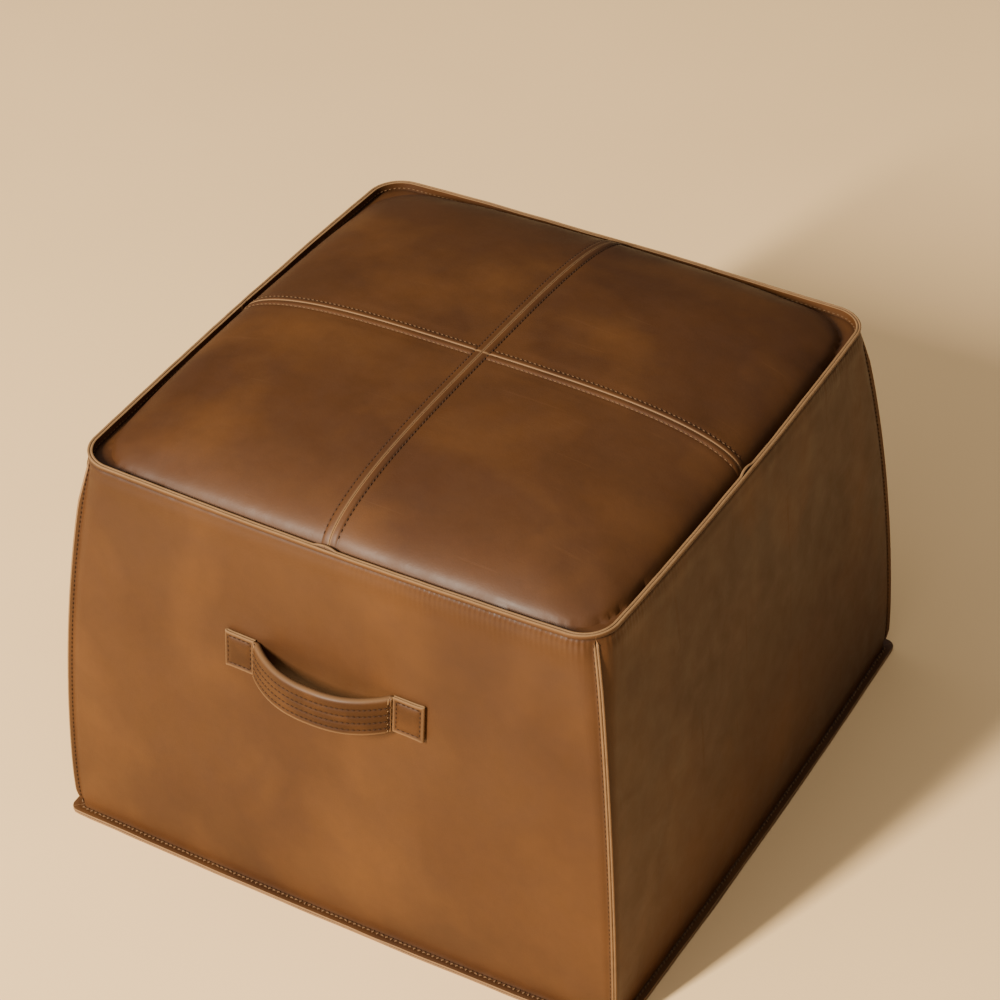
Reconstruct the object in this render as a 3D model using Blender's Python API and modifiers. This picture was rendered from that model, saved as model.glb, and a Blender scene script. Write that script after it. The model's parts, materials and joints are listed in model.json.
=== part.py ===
"""Moroccan leather pouf: a soft square seat of leather panels with raised raw-edge seams.

Metres, +Z up. The origin is on the floor under the middle of the seat. The handle's side faces -Y.
Every leather sheet is modelled on its flesh side, and Solidify grows it out to the grain side.
"""

import math

import bmesh
import bpy
from mathutils import Matrix, Vector

COLLECTION = "leather_pouf"
HELPERS = "leather_pouf_helpers"

# Clearances
GAP = 0.0003  # between pieces that lie on each other or are sewn together
RUNNING_GAP = 0.0003  # round the zip slider and its pull

# The seat
BASE_WIDTH = 0.560  # across the bottom hem, from corner to corner of a side
RIM_WIDTH = 0.494  # across the standing hem round the top, from corner to corner of a side
RIM_HEIGHT = 0.391  # floor to the raw edge of the standing hem
CROWN = 0.033  # how far the middle of the top stands over that edge
SIDE_BOW = 0.0035  # how far the middle of a side stands out past its corners
BELLY = 0.004  # how far a wall swells out halfway up
LEATHER = 0.002  # one layer of the cover
RIM_HEM = 0.010  # height of the standing hem
FOOT_HEM = 0.010  # width of the bottom hem
CORNER_HEM = 0.004  # width of the raised seam up each corner
CORNER_RADIUS = 0.012
RIM_CORNER_RADIUS = 0.030
FOOT_CORNER_RADIUS = 0.016
QUARTER_SWELL = 0.004  # how far each quarter of the top swells between its seams
CROWN_FULLNESS = 0.6  # the smaller, the steeper the top rises behind its hem
CROWN_FLATNESS = 3  # exponent of the crown's fall: the higher, the flatter its middle
CORNER_OPENING = 5  # exponent of how a wall's corner opens towards the top and the floor
SMALLEST_HEM = 0.0006  # what is left of a corner seam where it runs into a hem
SEAM_FADE_FOOT = 0.06  # share of the wall over which a corner seam runs out at the floor
SEAM_FADE_RIM = 0.10  # and at the top

# The handle: a strap sewn down at both ends, with a stuffed grip between them
HANDLE_HEIGHT = 0.2585  # floor to the middle of the strap
HANDLE_TILT = math.radians(1.2)  # sewn on a little lower to the right
STRAP_WIDTH = 0.034
GRIP_LENGTH = 0.133
GRIP_THICKNESS = 0.007
GRIP_REACH = 0.021  # hand space between the wall and the middle of the grip
GRIP_DROOP = 0.005  # how much lower the grip hangs in its middle than at its ends
GRIP_ARCH = 2.4  # exponent of the grip's curve
GRIP_FLAT = 0.004  # stitched flat on the wall at each end of the grip
TAB_LENGTH = 0.029
TAB_SEAT = 0.0006  # the tabs' and the grip's ends clear the swelling wall by this much
PATCH_THICKNESS = 0.0013
PATCH_MARGIN = 0.004  # how much the patches behind the wall are larger than the tabs
PATCH_SEAT = 0.0009  # from the wall's flesh side to a patch, measured at the handle's middle

# The zip in the base, through which the bag goes in
ZIP_OFFSET = 0.130  # from the middle of the base towards the back
ZIP_LENGTH = 0.360
ZIP_SLOT = 0.014  # width of the opening that shows the zip
FACING_WIDTH = 0.012
TAPE_THICKNESS = 0.0008
TAPE_LAP = 0.009  # how far the tape runs under the leather on each side
TAPE_ENDS = 0.008  # how far the tape runs past each end of the slot
CHAIN_GAP = 0.0014  # between the two coils
COIL_WIDTH = 0.0023
COIL_THICKNESS = 0.0013
STOP_LENGTH = 0.005
SLIDER_LENGTH = 0.012
SLIDER_WIDTH = 0.010
SLIDER_PLATE = 0.0010
SLIDER_POST = 0.0008
EAR_LENGTH = 0.0035
EAR_THICKNESS = 0.0012
PULL_WIDTH = 0.0046
PULL_LENGTH = 0.024
PULL_THICKNESS = 0.0010
PULL_BAR_RADIUS = 0.0004
PULL_EYE_WALL = 0.0004

# The stays under the seams of the top
STAY_WIDTH = 0.024
STAY_THICKNESS = 0.0008

# The filling
BAG_SPACE = 0.003  # between the leather and the bag
BAG_CLOTH = 0.0008
BAG_HEIGHT = 0.008  # floor to the underside of the bag
CROWN_SPACE = 2.5  # the filling lies this many times its inset below the crown
WADDING_THICKNESS = 0.014
TOPPER_EDGE = 0.003  # thickness of the wadding on top where it runs out at the rim
LAYER_SPACE = 0.003  # between two layers of the filling

# Faces along a side, from its middle to its corner, and up a wall
STRAIGHT_STEPS = 5
CORNER_STEPS = 3
SIDE_STEPS = STRAIGHT_STEPS + CORNER_STEPS
STRAIGHT_SHARE = STRAIGHT_STEPS / SIDE_STEPS
WALL_STEPS = 7
FILLING_STEPS = 4
FILLING_WALL_STEPS = 4
FOLD_STEPS = 4
GRIP_STEPS = 18
RING_CROWDING = 1.5  # exponent that draws the rings of the top towards its edge
BAR_SIDES = 12
EYE_SIDES = 16
LEAN_STEP = 0.001  # share of a wall over which its lean is measured

# Places worked out from the sizes
BASE_HALF = BASE_WIDTH / 2
FOOT_HALF = BASE_HALF - FOOT_HEM - LEATHER  # flesh side of the walls at the floor
RIM_HALF = RIM_WIDTH / 2 - LEATHER  # flesh side of the walls at the top
FOOT_LEVEL = LEATHER + GAP
RIM_LEVEL = RIM_HEIGHT - RIM_HEM
CROWN_RISE = RIM_HEM + CROWN - LEATHER
FACING_LEVEL = LEATHER + GAP
TAPE_LEVEL = FACING_LEVEL + LEATHER + GAP
COIL_LEVEL = TAPE_LEVEL - GAP - COIL_THICKNESS
PULL_EYE_RADIUS = PULL_BAR_RADIUS + RUNNING_GAP + PULL_EYE_WALL
PULL_LEVEL = COIL_LEVEL - RUNNING_GAP - PULL_EYE_RADIUS
FILLING_LEVEL = BAG_HEIGHT + BAG_CLOTH + LAYER_SPACE
FILLING_INSET = BAG_SPACE + BAG_CLOTH + LAYER_SPACE
BAG_TOP = RIM_LEVEL - CROWN_SPACE * BAG_SPACE
FOAM_TOP = RIM_LEVEL - CROWN_SPACE * FILLING_INSET - TOPPER_EDGE - LAYER_SPACE

FINISHES = {
    "cover": ((0.205, 0.088, 0.036), 0.45, 0.0),
    "handle": ((0.165, 0.070, 0.030), 0.42, 0.0),
    "backing": ((0.300, 0.180, 0.100), 0.80, 0.0),
    "cotton": ((0.620, 0.560, 0.450), 0.90, 0.0),
    "zip_tape": ((0.060, 0.030, 0.018), 0.85, 0.0),
    "zip_coil": ((0.045, 0.025, 0.016), 0.40, 0.0),
    "brass": ((0.560, 0.390, 0.170), 0.35, 1.0),
    "wadding": ((0.780, 0.770, 0.740), 0.95, 0.0),
    "foam": ((0.740, 0.660, 0.420), 0.90, 0.0),
}


def between(low, high, share):
    return low + (high - low) * share


def clear_scene():
    for thing in list(bpy.data.objects):
        bpy.data.objects.remove(thing, do_unlink=True)
    for name in (COLLECTION, HELPERS):
        collection = bpy.data.collections.new(name)
        bpy.context.scene.collection.children.link(collection)


def finish_of(name, kind):
    colour, roughness, metallic = FINISHES[kind]
    material = bpy.data.materials.new(name + "_finish")
    material.use_nodes = True
    shader = material.node_tree.nodes["Principled BSDF"]
    shader.inputs["Base Color"].default_value = (*colour, 1.0)
    shader.inputs["Roughness"].default_value = roughness
    shader.inputs["Metallic"].default_value = metallic
    material.diffuse_color = (*colour, 1.0)
    return material


def add_part(name, mesh, kind):
    part = bpy.data.objects.new(name, mesh)
    bpy.data.collections[COLLECTION].objects.link(part)
    part.data.materials.append(finish_of(name, kind))
    return part


def add_empty(name, place, parent=None):
    empty = bpy.data.objects.new(name, None)
    empty.empty_display_size = 0.03
    empty.matrix_basis = place
    empty.parent = parent
    bpy.data.collections[COLLECTION].objects.link(empty)
    return empty


def to_mesh(shape, name):
    mesh = bpy.data.meshes.new(name)
    shape.to_mesh(mesh)
    shape.free()
    return mesh


def sheet(name, columns, rows, place):
    """A sheet of faces, each point placed by its column and row.

    It faces up when its columns run to +X and its rows to +Y.
    """
    shape = bmesh.new()
    bmesh.ops.create_grid(shape, x_segments=columns, y_segments=rows, size=0.5)
    for point in shape.verts:
        column = round((point.co.x + 0.5) * columns)
        row = round((point.co.y + 0.5) * rows)
        point.co = place(column, row)
    return to_mesh(shape, name)


def block(name, size, edge=0.0):
    """A box round its own centre, with its edges cut back."""
    shape = bmesh.new()
    bmesh.ops.create_cube(shape, size=1.0)
    bmesh.ops.scale(shape, verts=shape.verts, vec=size)
    if edge:
        bmesh.ops.bevel(
            shape, geom=shape.edges, offset=edge, affect="EDGES", segments=2, profile=0.5, material=-1
        )
    return to_mesh(shape, name)


def thicken(part, thickness, outwards=True):
    solidify = part.modifiers.new("thickness", "SOLIDIFY")
    solidify.thickness = thickness
    solidify.offset = 1.0 if outwards else -1.0
    solidify.use_even_offset = True
    solidify.use_quality_normals = True
    return part


def crossways_rod(name, radius, length, sides):
    """A round rod along Y, round its own centre."""
    rod = bmesh.new()
    bmesh.ops.create_cone(
        rod,
        cap_ends=True,
        segments=sides,
        radius1=radius,
        radius2=radius,
        depth=length,
        matrix=Matrix.Rotation(math.pi / 2, 4, "X"),
    )
    return to_mesh(rod, name)


def helper(name, mesh, place):
    """A shape that another piece is joined to or cut by."""
    shape = bpy.data.objects.new(name, mesh)
    shape.location = place
    shape.hide_render = True
    shape.display_type = "WIRE"
    bpy.data.collections[HELPERS].objects.link(shape)
    return shape


def combine(part, operation, shapes):
    for shape in shapes:
        boolean = part.modifiers.new(shape.name, "BOOLEAN")
        boolean.operation = operation
        boolean.object = shape


def front_outline(half, radius, bow, turn):
    """Plan of the front side of a rounded square with bowed sides.

    Turn runs from the tip of its left corner, -1, to the tip of its right one, 1.
    """
    side = math.copysign(1.0, turn)
    straight = half - radius
    along = abs(turn)
    if along <= STRAIGHT_SHARE:
        share = along / STRAIGHT_SHARE
        return Vector((side * share * straight, -(half + bow * (1 - share**2)), 0.0))
    angle = (along - STRAIGHT_SHARE) / (1 - STRAIGHT_SHARE) * math.pi / 4
    reach = straight + radius * math.sin(angle)
    return Vector((side * reach, -(straight + radius * math.cos(angle)), 0.0))


def wall_half(share):
    """From the middle of the seat to a wall's flesh side at its corners, share of the way up."""
    return between(FOOT_HALF, RIM_HALF, share) + BELLY * math.sin(math.pi * share)


def wall_radius(share):
    """The corners are tight up the walls, and open into the wide corners of the top."""
    top = (RIM_CORNER_RADIUS - CORNER_RADIUS) * share**CORNER_OPENING
    foot = (FOOT_CORNER_RADIUS - CORNER_RADIUS) * (1 - share) ** CORNER_OPENING
    return CORNER_RADIUS + top + foot


def corner_hem(share):
    """Width of the raised corner seam, which runs out where it meets the hems."""
    fade = min(1.0, share / SEAM_FADE_FOOT, (1 - share) / SEAM_FADE_RIM)
    return between(SMALLEST_HEM, CORNER_HEM, max(0.0, fade))


def crown(across, along):
    """Height of the top over its own edge. Across and along run from 0 in the middle to 1 there."""
    fall = ((1 - across**CROWN_FLATNESS) * (1 - along**CROWN_FLATNESS)) ** CROWN_FULLNESS
    swell = math.sin(math.pi * across) * math.sin(math.pi * along)
    return CROWN_RISE * fall + QUARTER_SWELL * swell


def ring_level(share):
    """Rings of the top lie closer together towards the edge, where the leather falls steeply."""
    return 1 - (1 - share) ** RING_CROWDING


def top_point(column, row, steps, inset, below):
    """A point of the top's back right quarter, inset from the hem and below the flesh side.

    Column and row count from the middle, and the larger of them is the point's ring.
    """
    outer = max(column, row)
    if outer == 0:
        return Vector((0.0, 0.0, RIM_LEVEL + crown(0.0, 0.0) - below))
    level = ring_level(min(outer / steps, 1.0))
    turn = min(column, row) / outer
    half = (RIM_HALF - inset) * level
    plan = front_outline(half, (RIM_CORNER_RADIUS - inset) * level, SIDE_BOW * level, turn)
    place = Vector((-plan.y, plan.x, 0.0)) if column >= row else Vector((plan.x, -plan.y, 0.0))
    across = level * (1.0 if column >= row else turn)
    along = level * (turn if column >= row else 1.0)
    place.z = RIM_LEVEL + crown(across, along) - below
    return place


def make_side_panels():
    """Four walls of one cut: a standing hem above, a lying hem below, half a corner seam each side."""
    last_column = 2 * SIDE_STEPS + 2
    last_row = WALL_STEPS + 2

    def place(column, row):
        share = min(max((row - 1) / WALL_STEPS, 0.0), 1.0)
        turn = min(max((column - 1 - SIDE_STEPS) / SIDE_STEPS, -1.0), 1.0)
        half = BASE_HALF if row == 0 else wall_half(share)
        point = front_outline(half, wall_radius(share), SIDE_BOW, turn)
        if abs(turn) == 1.0:
            out = Vector((turn, -1.0, 0.0)).normalized()
            aside = Vector((turn, 1.0, 0.0)).normalized()
            point -= aside * GAP / 2
            if column in (0, last_column):
                point += out * corner_hem(share)
        point.z = RIM_HEIGHT if row == last_row else between(FOOT_LEVEL, RIM_LEVEL, share)
        return point

    mesh = sheet("side_panel", last_column, last_row, place)
    for index, side in enumerate(("front", "right", "back", "left")):
        panel = add_part("side_panel_" + side, mesh.copy(), "cover")
        panel.rotation_euler.z = index * math.pi / 2
        thicken(panel, LEATHER)


def make_top_panels():
    """Four quarters of one cut, crowned and swollen, with a hem that stands up inside the walls' hem."""

    def place(column, row):
        in_hem = max(column, row) > SIDE_STEPS
        point = top_point(min(column, SIDE_STEPS), min(row, SIDE_STEPS), SIDE_STEPS, GAP, 0.0)
        if in_hem:
            point.z = RIM_HEIGHT
        if column == 0:
            point.x = GAP / 2
        if row == 0:
            point.y = GAP / 2
        return point

    mesh = sheet("top_panel", SIDE_STEPS + 1, SIDE_STEPS + 1, place)
    for index, quarter in enumerate(("back_right", "back_left", "front_left", "front_right")):
        panel = add_part("top_panel_" + quarter, mesh.copy(), "cover")
        panel.rotation_euler.z = index * math.pi / 2
        thicken(panel, LEATHER)


def make_seam_stays():
    """Cotton tapes under the seams of the top: one runs front to back, two meet it from the sides."""
    last = SIDE_STEPS - 1
    half = STAY_WIDTH / 2

    def tape_point(step, side):
        point = top_point(step, 0, SIDE_STEPS, GAP, GAP)
        return Vector((point.x, side * half, point.z))

    def long_tape(column, row):
        point = tape_point(abs(column - last), 1 - 2 * row)
        return Vector((point.y, math.copysign(point.x, column - last), point.z))

    def short_tape(column, row):
        point = tape_point(max(column, 1), 2 * row - 1)
        if column == 0:
            start = half + GAP
            point.z = between(tape_point(0, 1).z, point.z, start / point.x)
            point.x = start
        return point

    stay = add_part("seam_stay_long", sheet("stay", 2 * last, 1, long_tape), "cotton")
    thicken(stay, STAY_THICKNESS, False)
    mesh = sheet("short_stay", last, 1, short_tape)
    for name, turn in (("seam_stay_right", 0.0), ("seam_stay_left", math.pi)):
        stay = add_part(name, mesh.copy(), "cotton")
        stay.rotation_euler.z = turn
        thicken(stay, STAY_THICKNESS, False)


def plate(name, outline):
    """A flat face inside an outline that runs anticlockwise, facing up."""
    shape = bmesh.new()
    bmesh.ops.create_circle(shape, cap_ends=True, segments=len(outline), radius=1.0)
    for point, place in zip(shape.verts, outline):
        point.co = place
    shape.normal_update()
    upside_down = [face for face in shape.faces if face.normal.z < 0]
    bmesh.ops.reverse_faces(shape, faces=upside_down)
    return to_mesh(shape, name)


def cut(part, low, high, name):
    """Takes a box away from a part."""
    size = [top - bottom for bottom, top in zip(low, high)]
    middle = [(top + bottom) / 2 for bottom, top in zip(low, high)]
    combine(part, "DIFFERENCE", [helper(name, block(name, size), middle)])


def make_base_panels():
    """The base is two sheets that meet in a line across the seat, cut back there to show the zip."""
    turns = [step / SIDE_STEPS for step in range(-SIDE_STEPS, SIDE_STEPS)]
    outline = []
    for index in range(4):
        quarter = Matrix.Rotation(index * math.pi / 2, 3, "Z")
        side = [front_outline(BASE_HALF, FOOT_CORNER_RADIUS, SIDE_BOW, turn) for turn in turns]
        outline += [quarter @ point for point in side]
    mesh = plate("base_panel", outline)
    for name, side in (("front", 1), ("rear", -1)):
        panel = add_part("base_panel_" + name, mesh.copy(), "cover")
        thicken(panel, LEATHER)
        near = ZIP_OFFSET - side * GAP / 2
        far = ZIP_OFFSET + side * BASE_WIDTH * 2
        low, high = sorted((near, far))
        cut(panel, (-BASE_WIDTH, low, -LEATHER), (BASE_WIDTH, high, 2 * LEATHER), "all_but_the_" + name)
        slot = ZIP_SLOT / 2
        low = (-ZIP_LENGTH / 2, ZIP_OFFSET - slot, -LEATHER)
        high = (ZIP_LENGTH / 2, ZIP_OFFSET + slot, 2 * LEATHER)
        cut(panel, low, high, "zip_slot_" + name)


def make_handle():
    """A strap whose ends are folded under and sewn down, and a stuffed grip that hangs between them."""
    share = (HANDLE_HEIGHT - FOOT_LEVEL) / (RIM_LEVEL - FOOT_LEVEL)
    rise = LEAN_STEP * (RIM_LEVEL - FOOT_LEVEL)
    lean = (wall_half(share) - wall_half(share + LEAN_STEP)) / rise
    face = wall_half(share) + SIDE_BOW + LEATHER / math.cos(math.atan(lean))
    # The seat's frame starts on the wall's grain side: X along the strap, -Y out of the wall, Z up it.
    seat = add_empty(
        "handle_seat",
        Matrix.Translation((0.0, -face, HANDLE_HEIGHT))
        @ Matrix.Rotation(-math.atan(lean), 4, "X")
        @ Matrix.Rotation(HANDLE_TILT, 4, "Y"),
    )
    hinge = add_empty("handle_hinge", Matrix.Translation((0.0, -TAB_SEAT, STRAP_WIDTH / 2)), seat)
    reach = GRIP_LENGTH / 2

    def arch(column):
        """Back of the grip, from the hinge: flat at both ends, and arched out and down between them."""
        span = reach - GRIP_FLAT
        inside = min(max(column - 1, 0), GRIP_STEPS - 2) / (GRIP_STEPS - 2)
        x = between(-span, span, inside)
        share = 1 - abs(x / span) ** GRIP_ARCH
        if column in (0, GRIP_STEPS):
            x = math.copysign(reach, x)
        return Vector((x, -GRIP_REACH * share, -GRIP_DROOP * share - STRAP_WIDTH / 2))

    def hang(column, depth, height):
        """A point of the grip, at a depth square to the arch and a height from the strap's middle."""
        here = arch(column)
        normals = []
        for near, far in ((column - 1, column), (column, column + 1)):
            if near >= 0 and far <= GRIP_STEPS:
                step = arch(far) - arch(near)
                normals.append(Vector((step.y, -step.x, 0.0)).normalized())
        mitre = (normals[0] + normals[-1]) / (1 + normals[0].dot(normals[-1]))
        return here + mitre * depth + Vector((0.0, 0.0, height))

    def sleeve_point(column, row):
        """Round the outer skin: up the front, over the fold and down behind."""
        radius = GRIP_THICKNESS / 2
        if row == 0:
            return hang(column, GRIP_THICKNESS, -STRAP_WIDTH / 2)
        if row == FOLD_STEPS + 2:
            return hang(column, 0.0, -STRAP_WIDTH / 2)
        angle = math.pi * (row - 1) / FOLD_STEPS
        fold = STRAP_WIDTH / 2 - radius
        return hang(column, radius + radius * math.cos(angle), fold + radius * math.sin(angle))

    def core_point(column, row):
        top = STRAP_WIDTH / 2 - GRIP_THICKNESS / 2
        return hang(column, GRIP_THICKNESS - LEATHER - GAP, between(-STRAP_WIDTH / 2, top, row))

    def tab_point(column, row):
        """Outer skin of a strap end, from the grip outwards and folded under. It runs along +X."""
        radius = LEATHER + GAP / 2
        start = reach + GAP
        bend = start + TAB_LENGTH - radius
        height = between(-STRAP_WIDTH / 2, STRAP_WIDTH / 2, row)
        if column == 0:
            return Vector((start, -2 * radius, height))
        if column == FOLD_STEPS + 2:
            return Vector((start, 0.0, height))
        angle = math.pi * (column - 1) / FOLD_STEPS
        return Vector((bend + radius * math.sin(angle), -radius - radius * math.cos(angle), height))

    sleeve = add_part("handle_grip", sheet("grip", GRIP_STEPS, FOLD_STEPS + 2, sleeve_point), "handle")
    sleeve.parent = hinge
    thicken(sleeve, LEATHER, False)
    core = add_part("handle_core", sheet("core", GRIP_STEPS, 1, core_point), "cotton")
    core.parent = hinge
    thicken(core, GRIP_THICKNESS - 2 * (LEATHER + GAP), False)

    tab = sheet("tab", FOLD_STEPS + 2, 1, tab_point)
    patch_size = (TAB_LENGTH + PATCH_MARGIN, PATCH_THICKNESS, STRAP_WIDTH + PATCH_MARGIN)
    patch = block("patch", patch_size)
    for side, turn in (("right", 0.0), ("left", math.pi)):
        end = add_part("handle_tab_" + side, tab.copy(), "handle")
        end.parent = seat
        end.location.y = -TAB_SEAT
        end.rotation_euler.y = turn
        thicken(end, LEATHER, False)
        backing = add_part("handle_patch_" + side, patch.copy(), "backing")
        backing.parent = seat
        middle = reach + TAB_LENGTH / 2
        backing.location = (middle * math.cos(turn), LEATHER + PATCH_SEAT + PATCH_THICKNESS / 2, 0.0)


def make_zip():
    """A coil zip under the edges of the base, with leather facings between them."""
    half = ZIP_LENGTH / 2
    slot = ZIP_SLOT / 2
    chain = CHAIN_GAP / 2
    tape_width = slot - chain + TAPE_LAP
    coil_length = ZIP_LENGTH - 2 * (STOP_LENGTH + GAP)
    for name, side in (("front", -1), ("rear", 1)):
        facing_size = (ZIP_LENGTH + 2 * TAPE_ENDS, FACING_WIDTH, LEATHER)
        facing = add_part("zip_facing_" + name, block("facing", facing_size), "backing")
        facing.location = (0.0, ZIP_OFFSET + side * (slot + FACING_WIDTH / 2), FACING_LEVEL + LEATHER / 2)
        tape_size = (ZIP_LENGTH + 2 * TAPE_ENDS, tape_width, TAPE_THICKNESS)
        tape = add_part("zip_tape_" + name, block("tape", tape_size), "zip_tape")
        tape.location = (0.0, ZIP_OFFSET + side * (chain + tape_width / 2), TAPE_LEVEL + TAPE_THICKNESS / 2)
        coil_size = (coil_length, COIL_WIDTH, COIL_THICKNESS)
        coil = add_part("zip_coil_" + name, block("coil", coil_size, COIL_THICKNESS / 4), "zip_coil")
        coil.location = (0.0, ZIP_OFFSET + side * (chain + COIL_WIDTH / 2), COIL_LEVEL + COIL_THICKNESS / 2)
    for name, side in (("left", -1), ("right", 1)):
        width = CHAIN_GAP + 2 * COIL_WIDTH
        stop_size = (STOP_LENGTH, width, COIL_THICKNESS)
        stop = add_part("zip_stop_" + name, block("stop", stop_size, COIL_THICKNESS / 4), "brass")
        stop.location = (side * (half - STOP_LENGTH / 2), ZIP_OFFSET, COIL_LEVEL + COIL_THICKNESS / 2)
    make_slider()


def make_slider():
    """Two plates joined by a post between the coils, a fork with a bar, and the pull on that bar."""
    start = Vector((-ZIP_LENGTH / 2 + STOP_LENGTH + GAP + SLIDER_LENGTH / 2, ZIP_OFFSET, 0.0))
    lower = COIL_LEVEL - RUNNING_GAP - SLIDER_PLATE / 2
    upper = TAPE_LEVEL + TAPE_THICKNESS + RUNNING_GAP + SLIDER_PLATE / 2
    plate_size = (SLIDER_LENGTH, SLIDER_WIDTH, SLIDER_PLATE)
    post_size = (SLIDER_LENGTH / 3, SLIDER_POST, upper - lower)
    ear_size = (EAR_LENGTH + SLIDER_PLATE, EAR_THICKNESS, 2 * (PULL_BAR_RADIUS + PULL_EYE_WALL))
    ear_along = SLIDER_LENGTH / 2 + EAR_LENGTH - ear_size[0] / 2
    ear_aside = PULL_WIDTH / 2 + RUNNING_GAP + EAR_THICKNESS / 2
    pivot = start + Vector((SLIDER_LENGTH / 2 + EAR_LENGTH / 2, 0.0, PULL_LEVEL))

    def at(along, aside, level):
        return start + Vector((along, aside, level))

    slider = add_part("zip_slider", block("slider", plate_size), "brass")
    slider.location = at(0.0, 0.0, lower)
    shapes = [
        helper("slider_plate", block("slider_plate", plate_size), at(0.0, 0.0, upper)),
        helper("slider_post", block("slider_post", post_size), at(0.0, 0.0, (lower + upper) / 2)),
        helper("slider_ear_rear", block("slider_ear", ear_size), at(ear_along, ear_aside, PULL_LEVEL)),
        helper("slider_ear_front", block("slider_ear", ear_size), at(ear_along, -ear_aside, PULL_LEVEL)),
        helper("slider_bar", crossways_rod("slider_bar", PULL_BAR_RADIUS, 2 * ear_aside, BAR_SIDES), pivot),
    ]
    combine(slider, "UNION", shapes)

    hinge = add_empty("zip_pull_hinge", Matrix.Translation(pivot))
    pull = add_part("zip_pull", crossways_rod("zip_pull", PULL_EYE_RADIUS, PULL_WIDTH, EYE_SIDES), "brass")
    pull.parent = hinge
    tongue_size = (PULL_LENGTH, PULL_WIDTH, PULL_THICKNESS)
    tongue = block("pull_tongue", tongue_size)
    combine(pull, "UNION", [helper("pull_tongue", tongue, pivot + Vector((PULL_LENGTH / 2, 0.0, 0.0)))])
    bore = crossways_rod("pull_bore", PULL_BAR_RADIUS + RUNNING_GAP, 2 * PULL_WIDTH, BAR_SIDES)
    combine(pull, "DIFFERENCE", [helper("pull_bore", bore, pivot)])


def filling_outline(level, inset, turn):
    """Plan of the front side of the bag or what lies in it, inset from the walls' flesh side.

    It follows straight facets between the same few levels for every layer, so that the layers lie parallel.
    """
    facet, share = divmod((level - FILLING_LEVEL) / (BAG_TOP - FILLING_LEVEL) * FILLING_WALL_STEPS, 1)
    ends = []
    for step in (facet, facet + 1):
        height = between(FILLING_LEVEL, BAG_TOP, step / FILLING_WALL_STEPS)
        ends.append(wall_half((height - FOOT_LEVEL) / (RIM_LEVEL - FOOT_LEVEL)))
    plan = front_outline(between(*ends, share) - inset, RIM_CORNER_RADIUS, SIDE_BOW, turn)
    return Vector((plan.x, plan.y, level))


def filling_top(column, row, inset):
    """A point of the crowned top of the bag or what lies in it, counted from the middle."""
    place = top_point(abs(column), abs(row), FILLING_STEPS, inset, CROWN_SPACE * inset)
    return Vector((math.copysign(place.x, column), math.copysign(place.y, row), place.z))


def make_bag():
    """A cotton bag inside the leather: one piece over the top and down the walls, and a flat base."""
    last = FILLING_STEPS + FILLING_WALL_STEPS

    def place(column, row):
        column -= last
        row -= last
        outer = max(abs(column), abs(row))
        if outer < FILLING_STEPS:
            return filling_top(column, row, BAG_SPACE)
        level = between(BAG_TOP, FILLING_LEVEL, (outer - FILLING_STEPS) / FILLING_WALL_STEPS)
        plan = filling_outline(level, BAG_SPACE, min(abs(column), abs(row)) / outer)
        x, y = (-plan.y, plan.x) if abs(column) >= abs(row) else (plan.x, -plan.y)
        return Vector((math.copysign(x, column), math.copysign(y, row), level))

    bag = add_part("bag_body", sheet("bag_body", 2 * last, 2 * last, place), "cotton")
    thicken(bag, BAG_CLOTH, False)
    outline = []
    for index in range(4):
        quarter = Matrix.Rotation(index * math.pi / 2, 3, "Z")
        for step in range(-FILLING_STEPS, FILLING_STEPS):
            outline.append(quarter @ filling_outline(BAG_HEIGHT, BAG_SPACE, step / FILLING_STEPS))
    thicken(add_part("bag_base", plate("bag_base", outline), "cotton"), BAG_CLOTH)


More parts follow.
